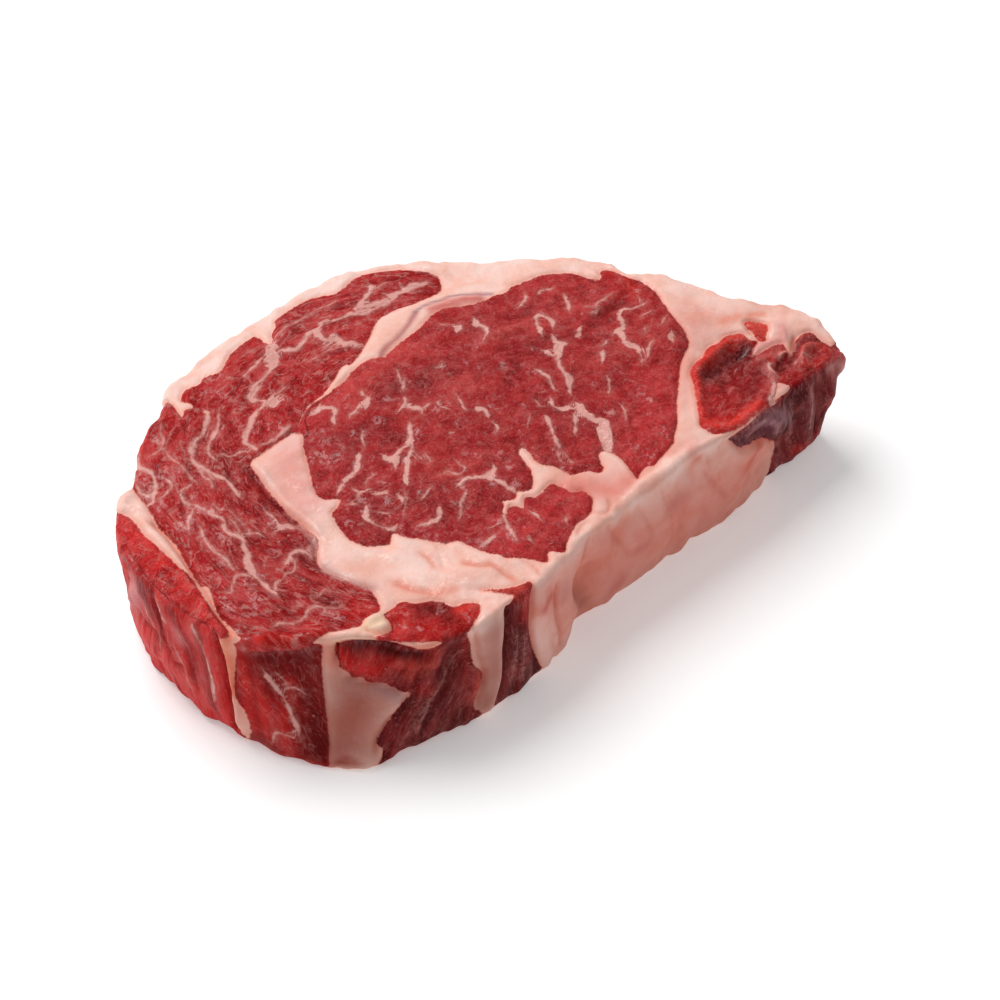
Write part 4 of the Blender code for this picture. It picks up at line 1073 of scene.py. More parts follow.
    def face(self, edge: np.ndarray, coarse: int = 1) -> np.ndarray:
        """The cells inside a ring: each corner lies between the spine and the ring, at a share set by
        its depth in the grid. The height is the thickness, the swells, and the rim's rise times the
        cube of that share.

        Args:
            edge: the ring's points, whose four runs hold the grid's four sides.
            coarse: how many cells of the wall one cell of the sheet spans.

        Returns:
            Rows by columns by x, y, z.
        """
        long, short = self.cells_long // coarse, self.cells_short // coarse
        row, column = np.mgrid[0:short + 1, 0:long + 1]
        depth = np.minimum(np.minimum(row, short - row), np.minimum(column, long - column))
        near, far = row == depth, row == short - depth
        along = near | far
        share = np.where(along, (column - depth) / (long - 2 * depth),
                         (row - depth) / np.maximum(short - 2 * depth, 1))
        on_edge = np.where(
            near, share * long,
            np.where(far, long + short + (1 - share) * long,
                     np.where(column == depth, 2 * long + short + (1 - share) * short,
                              long + share * short)))
        index = np.floor(on_edge).astype(int)
        part = (on_edge - index)[..., None]
        ring = edge[::coarse]
        outer = ring[index % len(ring)] * (1 - part) + ring[(index + 1) % len(ring)] * part
        spine_share = np.where(along, share, column > long / 2)[..., None]
        start, end = np.array(self.spine)
        spine = start + (end - start) * spine_share
        reach = (1 - depth / (short // 2))[..., None]
        flat = spine + (outer[..., :2] - spine) * reach
        rise = outer[..., 2] - self.thickness - self.swell(outer[..., 0], outer[..., 1])
        height = self.thickness + rise * reach[..., 0] ** 3 + self.swell(flat[..., 0], flat[..., 1])
        return np.concatenate([flat, height[..., None]], axis=2)


# ---------------------------------------------------------------------------------------------------
# Reading the charts
# ---------------------------------------------------------------------------------------------------


@dataclass
class Reading:
    """What a chart says at each place."""

    lean: np.ndarray
    lean_colour: np.ndarray
    fat_colour: np.ndarray
    fleck: np.ndarray
    relief: np.ndarray
    vein_side: np.ndarray
    vein_width: np.ndarray
    vein_room: np.ndarray
    # painted shade in grooves and creases, from 0 to 1: how far the colour is darkened there
    crease_shade: np.ndarray


@dataclass(frozen=True)
class Chart:
    """A sheet of marks: muscles, veins, washes and creases on one ground."""

    ground: Ground
    lean_base: Swatch
    fat_base: Swatch
    veins: tuple
    creases: tuple
    lean_tints: tuple
    fat_tints: tuple
    reach: float = 8.0
    vein_reach: float = 2.6
    seam_depth: float = 0.4

    def read(self, places: np.ndarray) -> Reading:
        """Works out every mark of the chart at the given places.

        Args:
            places: points of the ground, one row each.

        Returns:
            The chart's values at those points.
        """
        count = len(places)
        reading = Reading(
            lean=np.full(count, -self.reach),
            lean_colour=np.tile(self.lean_base.linear(), (count, 1)),
            fat_colour=np.tile(self.fat_base.linear(), (count, 1)),
            fleck=np.full(count, 0.4),
            relief=np.zeros(count),
            vein_side=np.full(count, self.vein_reach),
            vein_width=np.zeros(count),
            vein_room=np.full(count, -self.vein_reach),
            crease_shade=np.zeros(count),
        )
        dome = np.zeros(count)
        for muscle in MUSCLES:
            if muscle.ground is self.ground:
                self.lay_muscle(muscle, places, reading, dome)
        for vein in self.veins:
            self.lay_vein(vein, places, reading)
        for tint in self.lean_tints:
            self.lay_tint(tint, places, reading.lean_colour)
        for tint in self.fat_tints:
            self.lay_tint(tint, places, reading.fat_colour)
        lean, fat = np.maximum(reading.lean, 0.0), np.maximum(-reading.lean, 0.0)
        reading.relief += dome * (1 - np.exp(-lean / 3.0)) + 0.3 * (1 - np.exp(-fat / 1.2))
        reading.relief -= self.seam_depth * np.exp(-(reading.lean / 0.55) ** 2)
        for height, reach, *points in self.creases:
            line = smooth_line(tuple(points), 3, closed=False)
            near = within_reach(places, line, 2.5 * reach)
            found = nearest_on_line(places[near], line)
            ends = np.minimum(found.along, found.length - found.along)
            bell = np.exp(-(found.far / reach) ** 2) * np.clip(0.3 + ends / (2.5 * reach), 0.0, 1.0)
            reading.relief[near] += height * bell
            # Narrow grooves also paint shade: their depth, spread by the bell, darkens the colour there.
            if height < 0 and reach < 1.5:
                reading.crease_shade[near] = np.maximum(reading.crease_shade[near], min(1.0, -height) * bell)
        return reading

    def lay_muscle(self, muscle: Muscle, places: np.ndarray, reading: Reading, dome: np.ndarray) -> None:
        """Adds one muscle: its signed distance joins by the larger value, its colour by a soft edge.

        Args:
            muscle: the muscle.
            places: points of the ground.
            reading: the values so far, changed in place.
            dome: how far each place's muscle domes, changed in place.
        """
        line = smooth_line(muscle.outline, 3, closed=True)
        near = within_reach(places, line, self.reach)
        found = nearest_on_line(places[near], line)
        signed = np.where(inside_outline(places[near], line), found.far, -found.far)
        signed = np.clip(signed, -self.reach, self.reach)
        reading.lean[near] = np.maximum(reading.lean[near], signed)
        share = step_between(-1.2, 0.4, signed)
        dome[near] += (muscle.dome - dome[near]) * share
        reading.fleck[near] += (muscle.fleck - reading.fleck[near]) * share
        colour = reading.lean_colour[near]
        reading.lean_colour[near] = colour + (muscle.lean.linear() - colour) * share[:, None]

    def lay_vein(self, vein: tuple, places: np.ndarray, reading: Reading) -> None:
        """Adds one vein where it is roomier than those before it: room is half width less distance.

        Its half width runs between the given ones by arc length, and tapers over its last millimetre.

        Args:
            vein: its half width, or one for each point, then its points.
            places: points of the ground.
            reading: the values so far, changed in place.
        """
        widths, points = vein[0], vein[1:]
        steps = 3
        line = smooth_line(points, steps, closed=False)
        near = within_reach(places, line, self.vein_reach)
        if not len(near):
            return
        found = nearest_on_line(places[near], line)
        reached = np.concatenate([[0.0], np.cumsum(np.hypot(*np.diff(line, axis=0).T))])[::steps]
        given = np.interp(np.linspace(0, 1, len(points)), np.linspace(0, 1, np.size(widths)),
                          np.atleast_1d(widths))
        width = np.interp(found.along, reached, given)
        end = np.minimum(found.along, found.length - found.along)
        width = width * np.clip(0.45 + end / 1.6, 0.0, 1.0)
        room = width - found.far
        better = room > reading.vein_room[near]
        chosen = near[better]
        reading.vein_room[chosen] = room[better]
        reading.vein_side[chosen] = found.side[better]
        reading.vein_width[chosen] = width[better]

    @staticmethod
    def lay_tint(tint: tuple, places: np.ndarray, colours: np.ndarray) -> None:
        """Tints a coat by strength times a bell of the distance over the reach.

        Args:
            tint: swatch, strength, reach, and its points.
            places: points of the ground.
            colours: the coat's colours there, changed in place.
        """
        swatch, strength, reach, *points = tint
        line = smooth_line(tuple(points), 3, closed=False)
        near = within_reach(places, line, 2.2 * reach)
        share = (strength * np.exp(-(nearest_on_line(places[near], line).far / reach) ** 2))[:, None]
        colours[near] += (swatch.linear() - colours[near]) * share


# ---------------------------------------------------------------------------------------------------
# Shader wiring
# ---------------------------------------------------------------------------------------------------


class Wire:
    """A node's output that can be reckoned with: each operator adds the Math node it names."""

    def __init__(self, bench: Bench, socket: bpy.types.NodeSocket) -> None:
        """Keeps the bench that makes nodes and the socket."""
        self.bench = bench
        self.socket = socket

    def math(self, operation: str, *others: Wire | float) -> Wire:
        """A Math node on this value and the others."""
        sockets = dict(enumerate((self,) + others))
        return self.bench.make("ShaderNodeMath", {"operation": operation}, sockets)

    def __add__(self, other: Wire | float) -> Wire:
        """The sum."""
        return self.math("ADD", other)

    def __radd__(self, other: float) -> Wire:
        """The sum, the other way about."""
        return self.math("ADD", other)

    def __sub__(self, other: Wire | float) -> Wire:
        """The difference."""
        return self.math("SUBTRACT", other)

    def __rsub__(self, other: float) -> Wire:
        """A number less this value."""
        return self.bench.make("ShaderNodeMath", {"operation": "SUBTRACT"}, {0: other, 1: self})

    def __mul__(self, other: Wire | float) -> Wire:
        """The product."""
        return self.math("MULTIPLY", other)

    def __rmul__(self, other: float) -> Wire:
        """The product, the other way about."""
        return self.math("MULTIPLY", other)

    def __truediv__(self, other: Wire | float) -> Wire:
        """The quotient."""
        return self.math("DIVIDE", other)

    def __abs__(self) -> Wire:
        """The value without its sign."""
        return self.math("ABSOLUTE")

    def greatest(self, other: Wire | float) -> Wire:
        """The larger of the two."""
        return self.math("MAXIMUM", other)

    def between(self, low: Wire | float, high: Wire | float) -> Wire:
        """Rises smoothly from 0 at low to 1 at high."""
        return self.bench.make("ShaderNodeMapRange", {"interpolation_type": "SMOOTHSTEP"},
                               {"Value": self, "From Min": low, "From Max": high})


class Bench:
    """Makes the nodes of one material."""

    def __init__(self, name: str) -> None:
        """Starts a material with nothing but its output."""
        self.material = bpy.data.materials.new(name)
        self.material.use_nodes = True
        self.tree = self.material.node_tree
        self.tree.nodes.clear()

    def make(self, kind: str, settings: dict | None = None, sockets: dict | None = None,
             output: int | str = 0) -> Wire:
        """Adds a node.

        Args:
            kind: the node's type.
            settings: its own settings, set first.
            sockets: a value or a wire for each input, by name or number.
            output: which output is taken.

        Returns:
            That output.
        """
        node = self.tree.nodes.new(kind)
        for key, value in (settings or {}).items():
            setattr(node, key, value)
        for key, value in (sockets or {}).items():
            if isinstance(value, Wire):
                self.tree.links.new(value.socket, node.inputs[key])
            else:
                node.inputs[key].default_value = value
        return Wire(self, node.outputs[output])

    def figure(self, name: str) -> Wire:
        """A number that the skin holds at its points."""
        return self.make("ShaderNodeAttribute", {"attribute_name": name}, output="Fac")

    def vector(self, name: str) -> Wire:
        """A vector that the skin holds at its points."""
        return self.make("ShaderNodeAttribute", {"attribute_name": name}, output="Vector")

    def colour(self, name: str) -> Wire:
        """A colour that the skin holds at its points."""
        return self.make("ShaderNodeAttribute", {"attribute_name": name}, output="Color")

    def noise(self, place: Wire, scale: float, detail: float = 2.0, roughness: float = 0.5,
              distortion: float = 0.0) -> Wire:
        """Cloudy noise from 0 to 1, about 0.5 in the mean."""
        return self.make("ShaderNodeTexNoise", {}, {
            "Vector": place, "Scale": scale, "Detail": detail, "Roughness": roughness,
            "Distortion": distortion}, output="Fac")

    def mix(self, first: Wire | tuple, second: Wire | tuple, share: Wire | float,
            blend: str = "MIX") -> Wire:
        """Two colours mixed by a share, or blended in another way."""
        return self.make("ShaderNodeMix", {"data_type": "RGBA", "blend_type": blend},
                         {0: share, 6: first, 7: second}, output=2)

    def finish(self, shader: Wire) -> bpy.types.Material:
        """Joins the shader to the material's output."""
        output = self.tree.nodes.new("ShaderNodeOutputMaterial")
        self.tree.links.new(shader.socket, output.inputs["Surface"])
        return self.material


@dataclass(frozen=True)
class RawBeef:
    """The finish of the whole slice: moist lean, satin fat, and the veins and flecks between them."""

    edge_softness: float = 0.24
    fray: float = 1.0
    vein_softness: float = 0.35
    lean_roughness: float = 0.46
    fat_roughness: float = 0.52
    specular: float = 0.05
    subsurface: float = 0.12
    scatter: float = 0.0006
    coat: float = 0.55
    coat_roughness: float = 0.22
    dark_tone: tuple = (0.52, 0.28, 0.32, 1.0)
    deep_tone: tuple = (0.62, 0.46, 0.50, 1.0)
    broad_tone: tuple = (0.74, 0.56, 0.58, 1.0)
    pale_tone: tuple = (0.60, 0.105, 0.10, 1.0)
    vein_pink: tuple = (0.60, 0.25, 0.22, 1.0)
    core_tone: tuple = (0.96, 0.77, 0.78, 1.0)
    warm_tone: tuple = (0.96, 0.80, 0.74, 1.0)
    edge_tone: tuple = (0.97, 0.70, 0.64, 1.0)
    # Tones of the painted shade in grooves and creases, for lean and for fat
    lean_shade_tone: tuple = (0.54, 0.30, 0.30, 1.0)
    fat_shade_tone: tuple = (0.84, 0.52, 0.46, 1.0)

    def veins(self, bench: Bench, grain: Wire, place: Wire, lean: Wire) -> tuple[Wire, Wire]:
        """How much vein there is: the drawn veins with their halo, and a faint web between them.

        Args:
            bench: where the nodes are made.
            grain: the place, drawn out along the fibres.
            place: the place in millimetres.
            lean: how lean the skin is there, from 0 to 1.

        Returns:
            The share of vein, and the share of its thick middle.
        """
        room, fleck = bench.figure("vein_room"), bench.figure("fleck")
        side, width = bench.figure("vein_side"), bench.figure("vein_width") * (1.85 - fleck * 1.35)
        wobble = bench.noise(place, 0.9, 3.0, 0.6) - 0.5
        swell = bench.noise(place, 0.38, 2.0)
        wander = (bench.noise(grain, 0.50, 1.0) - 0.5) * (fleck * 1.2 + 0.7)
        thread = width * (swell * 3.2 - 0.35) - abs(side + wander) + wobble * 0.9
        soft = fleck * 0.36 + self.vein_softness
        drawn = thread.between(soft * -1.0, soft) * room.between(-0.9, -0.5)
        drawn = drawn * (width * 1.3 + 0.40).math("MINIMUM", 0.97)
        halo = room.between(-1.9, 0.3) * wobble.between(-0.14, 0.16) * 0.46
        web = abs(bench.noise(grain, 0.20, 2.5, 0.55, 1.2) - 0.5)
        fine = abs(bench.noise(grain, 0.46, 2.0, 0.50, 0.8) - 0.5)
        faint = (1 - web.between(0.004, 0.045)).greatest((1 - fine.between(0.006, 0.040)) * 0.5)
        faint = faint * (swell + wobble * 0.6).between(0.38, 0.60) * (fleck * 0.85 + 0.05)
        return drawn.greatest(halo).greatest(faint) * lean, thread.between(0.0, 0.55) * (1 - fleck * 0.5)

    def meat(self, bench: Bench, grain: Wire, place: Wire, fibre: Wire) -> Wire:
        """The lean's colour: its own red in bundles, dark between the fibres, with pale threads.

        Args:
            bench: where the nodes are made.
            grain: the place, drawn out along the fibres.
            place: the place in millimetres.
            fibre: the fibres, from 0 to 1.

        Returns:
            The colour.
        """
        fleck = bench.figure("fleck")
        broad = (1 - bench.noise(place, 0.075, 3.0, 0.6, 0.5).between(0.36, 0.60)) * 0.55
        own = bench.mix(bench.colour("lean_colour"), self.broad_tone, broad, "MULTIPLY")
        bundle = bench.noise(grain, 0.30, 2.0, 0.55, 0.6)
        dark = bench.mix(own, self.dark_tone, 1.0, "MULTIPLY")
        pale = bench.mix(own, self.pale_tone, 0.62)
        tone = bench.mix(own, dark, (1 - fibre.between(0.40, 0.54)) * (0.18 + fleck * 0.66))
        tone = bench.mix(tone, pale, bundle.between(0.46, 0.66) * (0.30 + fleck * 0.40))
        deep = bench.mix(tone, self.deep_tone, 1.0, "MULTIPLY")
        tone = bench.mix(tone, deep, (1 - bundle.between(0.32, 0.50)) * (0.40 + fleck * 0.5))
        thread = 1 - abs(bench.noise(grain, 0.85, 2.0, 0.6, 0.9) - 0.5).between(0.0, 0.055)
        tone = bench.mix(tone, self.vein_pink, thread * fibre.between(0.40, 0.62) * (0.20 + fleck * 0.12))
        speck = bench.noise(place, 0.85, 3.0, 0.62, 0.3)
        return bench.mix(tone, self.vein_pink, speck.between(0.66, 0.76) * 0.6)

    def fat(self, bench: Bench, place: Wire, lean: Wire) -> Wire:
        """The fat's colour: its own, a little warmer in soft patches, pink next to the lean.

        Args:
            bench: where the nodes are made.
            place: the place in millimetres.
            lean: the signed distance into the lean.

        Returns:
            The colour.
        """
        own = bench.colour("fat_colour")
        patch = bench.noise(place, 0.11, 4.0, 0.62, 0.4)
        warm = bench.mix(own, self.warm_tone, 1.0, "MULTIPLY")
        colour = bench.mix(warm, own, patch.between(0.34, 0.62))
        edge = bench.mix(own, self.edge_tone, 1.0, "MULTIPLY")
        return bench.mix(colour, edge, lean.between(-1.4, 0.1) * 0.9)

    def material(self) -> bpy.types.Material:
        """Wires the finish.

        Returns:
            The material.
        """
        bench = Bench("raw_beef")
        grain, place, lean = bench.vector("grain"), bench.vector("place"), bench.figure("lean")
        ragged = bench.noise(place, 0.75, 3.0, 0.6) - 0.5
        is_lean = (lean + ragged * self.fray).between(-self.edge_softness, self.edge_softness)
        fibre = bench.noise(grain, 1.25, 3.0, 0.68, 0.7)
        vein, thick = self.veins(bench, grain, place, is_lean)
        fat = self.fat(bench, place, lean)
        core = bench.mix(bench.colour("fat_colour"), self.core_tone, 1.0, "MULTIPLY")
        streak = bench.mix(self.vein_pink, core, thick * 0.88)
        marbled = bench.mix(self.meat(bench, grain, place, fibre), streak, vein)
        colour = bench.mix(fat, marbled, is_lean)
        # Painted shade: the colour is darkened in grooves and creases, more over the fibres, by a dark tone for
        # lean and a warm one for fat.
        crease_shade = (bench.figure("crease_shade") * (0.5 + fibre)).math("MINIMUM", 1.0)
        shade = bench.mix(self.fat_shade_tone, self.lean_shade_tone, is_lean)
        colour = bench.mix(colour, bench.mix(colour, shade, 1.0, "MULTIPLY"), crease_shade)

        fatty = (1 - is_lean).greatest(vein)
        roughness = self.lean_roughness + (self.fat_roughness - self.lean_roughness) * fatty
        height_here = bench.make("ShaderNodeSeparateXYZ", {}, {0: place}, output="Z")
        wet = bench.noise(place, 0.13, 4.0, 0.65).between(0.44, 0.60) * (0.1 + height_here.between(30, 35) * 0.9)
        roughness = roughness + (fibre - 0.5) * 0.35 - wet * 0.22
        crinkle = bench.noise(place, 0.8, 3.0, 0.6, 0.4)
        height = is_lean * fibre * 0.60 + fatty * 0.12 + crinkle * 0.20
        normal = bench.make("ShaderNodeBump", {}, {"Strength": 0.9, "Distance": MM, "Height": height})
        shader = bench.make("ShaderNodeBsdfPrincipled", {"subsurface_method": "RANDOM_WALK"}, {
            "Base Color": colour, "Roughness": roughness, "Normal": normal,
            "Specular IOR Level": self.specular,
            "Subsurface Weight": self.subsurface, "Subsurface Scale": self.scatter,
            "Subsurface Radius": (1.0, 0.35, 0.28),
            "Coat Weight": wet * crinkle.between(0.44, 0.58) * self.coat, "Coat Roughness": self.coat_roughness})
        return bench.finish(shader)


# ---------------------------------------------------------------------------------------------------
# The steak
# ---------------------------------------------------------------------------------------------------


@dataclass
class Steak:
    """The slice as one closed skin, its points in the frame, its finish read from its points."""

    slab: Slab = field(default_factory=Slab)
    coarse: int = 2
    under_inset: float = 7.2
    under_warp: float = 2.0
    wall_stretch: float = 0.15
    foot_ragged: float = 0.8
    # Where the lean is knotty: x, y, reach
    knots: tuple = ((76, -28, 14), (-48, -56, 8), (-92, 2, 7), (-92, -12, 7), (-90, -26, 7))

    def face_chart(self) -> Chart:
        """The cut face's chart."""
        veins = CAP_VEINS + CAP_BACK_VEINS + EYE_FAR_VEINS + EYE_NEAR_VEINS + TAIL_VEINS
        return Chart(Ground.FACE, CAP_RED, SEAM_FAT, veins, FACE_CREASES,
                     FACE_LEAN_TINTS, FACE_FAT_TINTS)

    def wall_chart(self) -> Chart:
        """The wall's chart."""
        return Chart(Ground.WALL, WALL_RED, CREAM, WALL_VEINS, WALL_CREASES,
                     WALL_LEAN_TINTS, WALL_FAT_TINTS)

    def build(self) -> bpy.types.Object:
        """Makes the skin.

        Returns:
            The object, at the origin, its place in its mesh.
        """
        slab = self.slab
        rim = slab.rim()
        around = len(rim)
        side = slab.outward(rim)
        rings = slab.wall(rim)
        levels = len(rings)
        top_cells = slab.face(rings[-1])
        flat = np.zeros(around)
        under_ring = slab.ring(rim, flat, self.under_inset)
        under_cells = slab.face(under_ring, self.coarse)
        under_cells[..., 2] = 0.0

        # Numbers of the points: the wall's rings, the face's inner points, the underside's points
        rows, columns = top_cells.shape[:2]
        face_index = np.zeros((rows, columns), int)
        edge_first = (levels - 1) * around
        long, short = columns - 1, rows - 1
        face_index[0, :] = edge_first + np.arange(columns)
        face_index[:, -1] = edge_first + long + np.arange(rows)
        face_index[-1, :] = edge_first + 2 * long + short - np.arange(columns)
        face_index[:, 0] = edge_first + (around - np.arange(rows)) % around
        inner = (rows - 2) * (columns - 2)
        face_index[1:-1, 1:-1] = levels * around + np.arange(inner).reshape(rows - 2, columns - 2)
        under_first = levels * around + inner
        under_rows, under_columns = under_cells.shape[:2]
        under_index = under_first + np.arange(under_rows * under_columns).reshape(under_rows, -1)

        points = np.concatenate([
            rings.reshape(-1, 3), top_cells[1:-1, 1:-1].reshape(-1, 3), under_cells.reshape(-1, 3)])
        quads, triangles = self.faces(levels, around, face_index, under_index)

        # Where each point lies on the two charts, and how much the cut face's chart counts there
        pattern_ring = rim[:, :2] - side * self.under_inset
        pattern = slab.face(np.column_stack([pattern_ring, flat + slab.thickness]), self.coarse)
        insets = self.insets()
        wall_xy = rim[None, :, :2] - side[None] * insets[:, None, None]
        face_xy = np.concatenate([
            wall_xy.reshape(-1, 2), top_cells[1:-1, 1:-1, :2].reshape(-1, 2),
            pattern[..., :2].reshape(-1, 2)])
        reached = np.concatenate([[0.0], np.cumsum(np.hypot(*np.diff(
            np.concatenate([rim, rim[:1]])[:, :2], axis=0).T))])
        whole = reached[-1]
        along = reached[:-1]
        lip_start = 2 * slab.cells_long + slab.cells_short
        along = np.where(np.arange(around) >= lip_start, along - whole, along)
        beyond = len(points) - levels * around
        wall_u = np.concatenate([np.tile(along, levels), np.zeros(beyond)])
        height = points[:, 2].copy()
        top = np.concatenate([np.tile(slab.thickness + rim[:, 2], levels), np.full(beyond, 99.0)])
        on_wall = np.arange(len(points)) < levels * around
        from_top = top - height
        face_share = np.where(
            on_wall, np.maximum(1 - step_between(0.1, 2.0, from_top), 1 - step_between(0.0, 2.0, height)),
            1.0)
        below = np.where(on_wall, 1 - step_between(0.5, 4.0, height), 0.0)
        below[under_first:] = 1.0
        warp_at = np.column_stack([face_xy, np.zeros(len(points))])
        warp = np.column_stack([ripple(warp_at, 15.0, 11), ripple(warp_at, 15.0, 12)])
        face_xy = face_xy + self.under_warp * warp * below[:, None]

        reading = self.merge(face_xy, np.column_stack([wall_u, height]), face_share)

        tangent = np.column_stack([-side[:, 1], side[:, 0]])
        fall = slab.thickness - height
        slide = np.zeros_like(face_xy)
        slide[on_wall] = np.tile(tangent * self.streak_lean(along)[:, None], (levels, 1)) * -fall[on_wall, None]
        squeezed = slab.thickness - fall * self.wall_stretch
        grain = np.column_stack([self.along_fibres(face_xy, points[:, :2] + slide),
                                 np.where(on_wall, squeezed, height)])

        # The skin's own normals carry the relief
        relief = reading.relief + self.roughen(points, grain, reading, on_wall, from_top)
        foot = np.where(on_wall, np.exp(-(height / 5.0) ** 2), 0.0)
        relief = relief * (1 - below) + foot * self.foot_ragged * (
            ripple(points * np.array([1, 1, 0.3]), 5.0, 32) + 0.6 * ripple(points, 2.2, 33))
        mesh = self.mesh(points, quads, triangles)
        normals = np.zeros(len(points) * 3, np.float32)
        mesh.vertex_normals.foreach_get("vector", normals)
        placed = points + normals.reshape(-1, 3) * relief[:, None]
        placed[:, 2] = np.maximum(placed[:, 2], 0.0)
        low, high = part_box(NODE)
        middle = (rings.reshape(-1, 3).min(axis=0) + rings.reshape(-1, 3).max(axis=0)) / 2
        middle[2] = 0.0
        home = np.array([(low.x + high.x) / 2, (low.y + high.y) / 2, low.z])
        mesh.vertices.foreach_set("co", ((placed - middle) * MM + home).astype(np.float32).ravel())
        mesh.update()

        # The painted shade of grooves and creases goes to the shader as a point attribute too.
        figures = {"lean": reading.lean, "fleck": reading.fleck, "crease_shade": reading.crease_shade,
                   "vein_side": reading.vein_side, "vein_width": reading.vein_width,
                   "vein_room": reading.vein_room}
        for name, values in figures.items():
            layer = mesh.attributes.new(name, "FLOAT", "POINT")
            layer.data.foreach_set("value", values.astype(np.float32))
        for name, values in {"grain": grain, "place": points}.items():
            layer = mesh.attributes.new(name, "FLOAT_VECTOR", "POINT")
            layer.data.foreach_set("vector", values.astype(np.float32).ravel())
        for name in ("lean_colour", "fat_colour"):
            values = np.column_stack([getattr(reading, name), np.ones(len(points))])
            layer = mesh.attributes.new(name, "FLOAT_COLOR", "POINT")
            layer.data.foreach_set("color", values.astype(np.float32).ravel())
        steak = bpy.data.objects.new("steak", mesh)
        bpy.context.scene.collection.objects.link(steak)
        return steak

    def insets(self) -> np.ndarray:
        """How far each ring of the wall lies inside the rim's line."""
        slab = self.slab
        bend = 1 - np.sin(np.linspace(0.0, math.pi / 2, slab.edge_cells + 1))
        foot, edge = slab.foot_round * bend[1:], slab.edge_round * bend[:0:-1]
        return np.concatenate([[slab.foot_inset, 4.2, 2.6], foot, np.zeros(slab.wall_cells - 1), edge])

    def merge(self, face_xy: np.ndarray, wall_uz: np.ndarray, face_share: np.ndarray) -> Reading:
        """Reads both charts where each counts and joins them by the face's share.

        Args:
            face_xy: places on the cut face's chart.
            wall_uz: places on the wall's chart.
            face_share: how much the face's chart counts at each.

        Returns:
            The joined values.
        """
        on_face, on_wall = face_share > 0, face_share < 1
        face = self.face_chart().read(face_xy[on_face])
        wall = self.wall_chart().read(wall_uz[on_wall])
        joined = {}
        for name in Reading.__dataclass_fields__:
            first, second = getattr(face, name), getattr(wall, name)
            shape = (len(face_share),) + first.shape[1:]
            whole_face, whole_wall = np.zeros(shape), np.zeros(shape)
            whole_face[on_face] = first
            whole_wall[on_wall] = second
            share = face_share.reshape((-1,) + (1,) * (len(shape) - 1))
            if name.startswith("vein"):
                share = np.round(share)
            joined[name] = whole_face * share + whole_wall * (1 - share)
        return Reading(**joined)

    @staticmethod
    def along_fibres(face_xy: np.ndarray, places: np.ndarray) -> np.ndarray:
        """The places drawn out along the fibres of the muscles that flow.

        Args:
            face_xy: places on the cut face's chart, which choose the muscle.
            places: the same points where their pattern is read.

        Returns:
            Two numbers for each place.
        """
        grain = places.copy()
        for muscle in MUSCLES:
            if muscle.flow:
                line = smooth_line(muscle.outline, 3, closed=True)
                near = within_reach(face_xy, line, 1.5)
                beside = nearest_on_line(face_xy[near], line).far < 1.5
                own = near[beside | inside_outline(face_xy[near], line)]
                grain[own] = muscle.flow.read(places[own])
        return grain

    def streak_lean(self, along: np.ndarray) -> np.ndarray:
        """How the wall's streaks lean, sideways travel for each unit of fall, along the rim."""
        marks = ((-105, 0.3), (-60, 0.3), (-15, 0.27), (-5, 0.1), (13, 0.1), (30, -0.6), (50, -0.6),
                 (57, 0.0), (70, 0.1), (90, 0.3), (190, 0.3), (230, 0.0), (393, 0.0))
        at, lean = np.array(marks).T
        return np.interp(along, at, lean)

    def roughen(self, points: np.ndarray, grain: np.ndarray, reading: Reading, on_wall: np.ndarray,
                from_top: np.ndarray) -> np.ndarray:
        """The skin's unevenness: bundles along the lean's fibres, soft lumps in the fat, grooves that
        run down the wall, and a ragged rim. A groove lies where smooth noise passes through zero.

        Args:
            points: the skin's points.
            grain: the same points drawn out along the fibres.
            reading: the charts' values there; the grooves are added to its painted crease shade.
            on_wall: which points are the wall's.
            from_top: how far below the cut face they lie.

        Returns:
            Heights to add along the normals.
        """
        lean = step_between(-0.3, 0.3, reading.lean)
        bundles = 0.42 * ripple(grain, 2.6, 21) + 0.22 * ripple(grain, 1.3, 22) + 0.35 * ripple(points, 6, 27)
        lumps = 0.42 * ripple(points, 7.0, 23) + 0.20 * ripple(points, 2.6, 24)
        down = np.where(on_wall, step_between(0.0, 5.0, from_top), 0.0)
        streaks = 0.50 * ripple(grain, 3.4, 25) + 0.26 * ripple(grain, 1.5, 26)
        groove = np.exp(-(ripple(grain, 4.2, 28) / 0.16) ** 2) * step_between(-0.1, 0.5, ripple(points, 8, 29))
        groove = groove * down * (0.5 + 0.5 * lean)
        # Painted shade: the wall's grooves darken the colour by half their strength.
        reading.crease_shade[:] = np.maximum(reading.crease_shade, 0.5 * groove)
        rim = np.exp(-(from_top / 1.6) ** 2) * np.where(on_wall, 1.0, 0.0)
        ragged = rim * (0.40 * ripple(points, 2.4, 30) + 0.35 * ripple(points, 6.0, 31))
        knotty = sum(np.exp(-((points[:, 0] - x) ** 2 + (points[:, 1] - y) ** 2) / reach ** 2)
                     for x, y, reach in self.knots)
        bundles = bundles + knotty * (0.55 * ripple(points, 2.6, 34) + 0.35 * ripple(points, 4.5, 35))
        return lean * bundles + (1 - lean) * lumps + down * streaks * (0.4 + 0.6 * lean) - 0.7 * groove + ragged

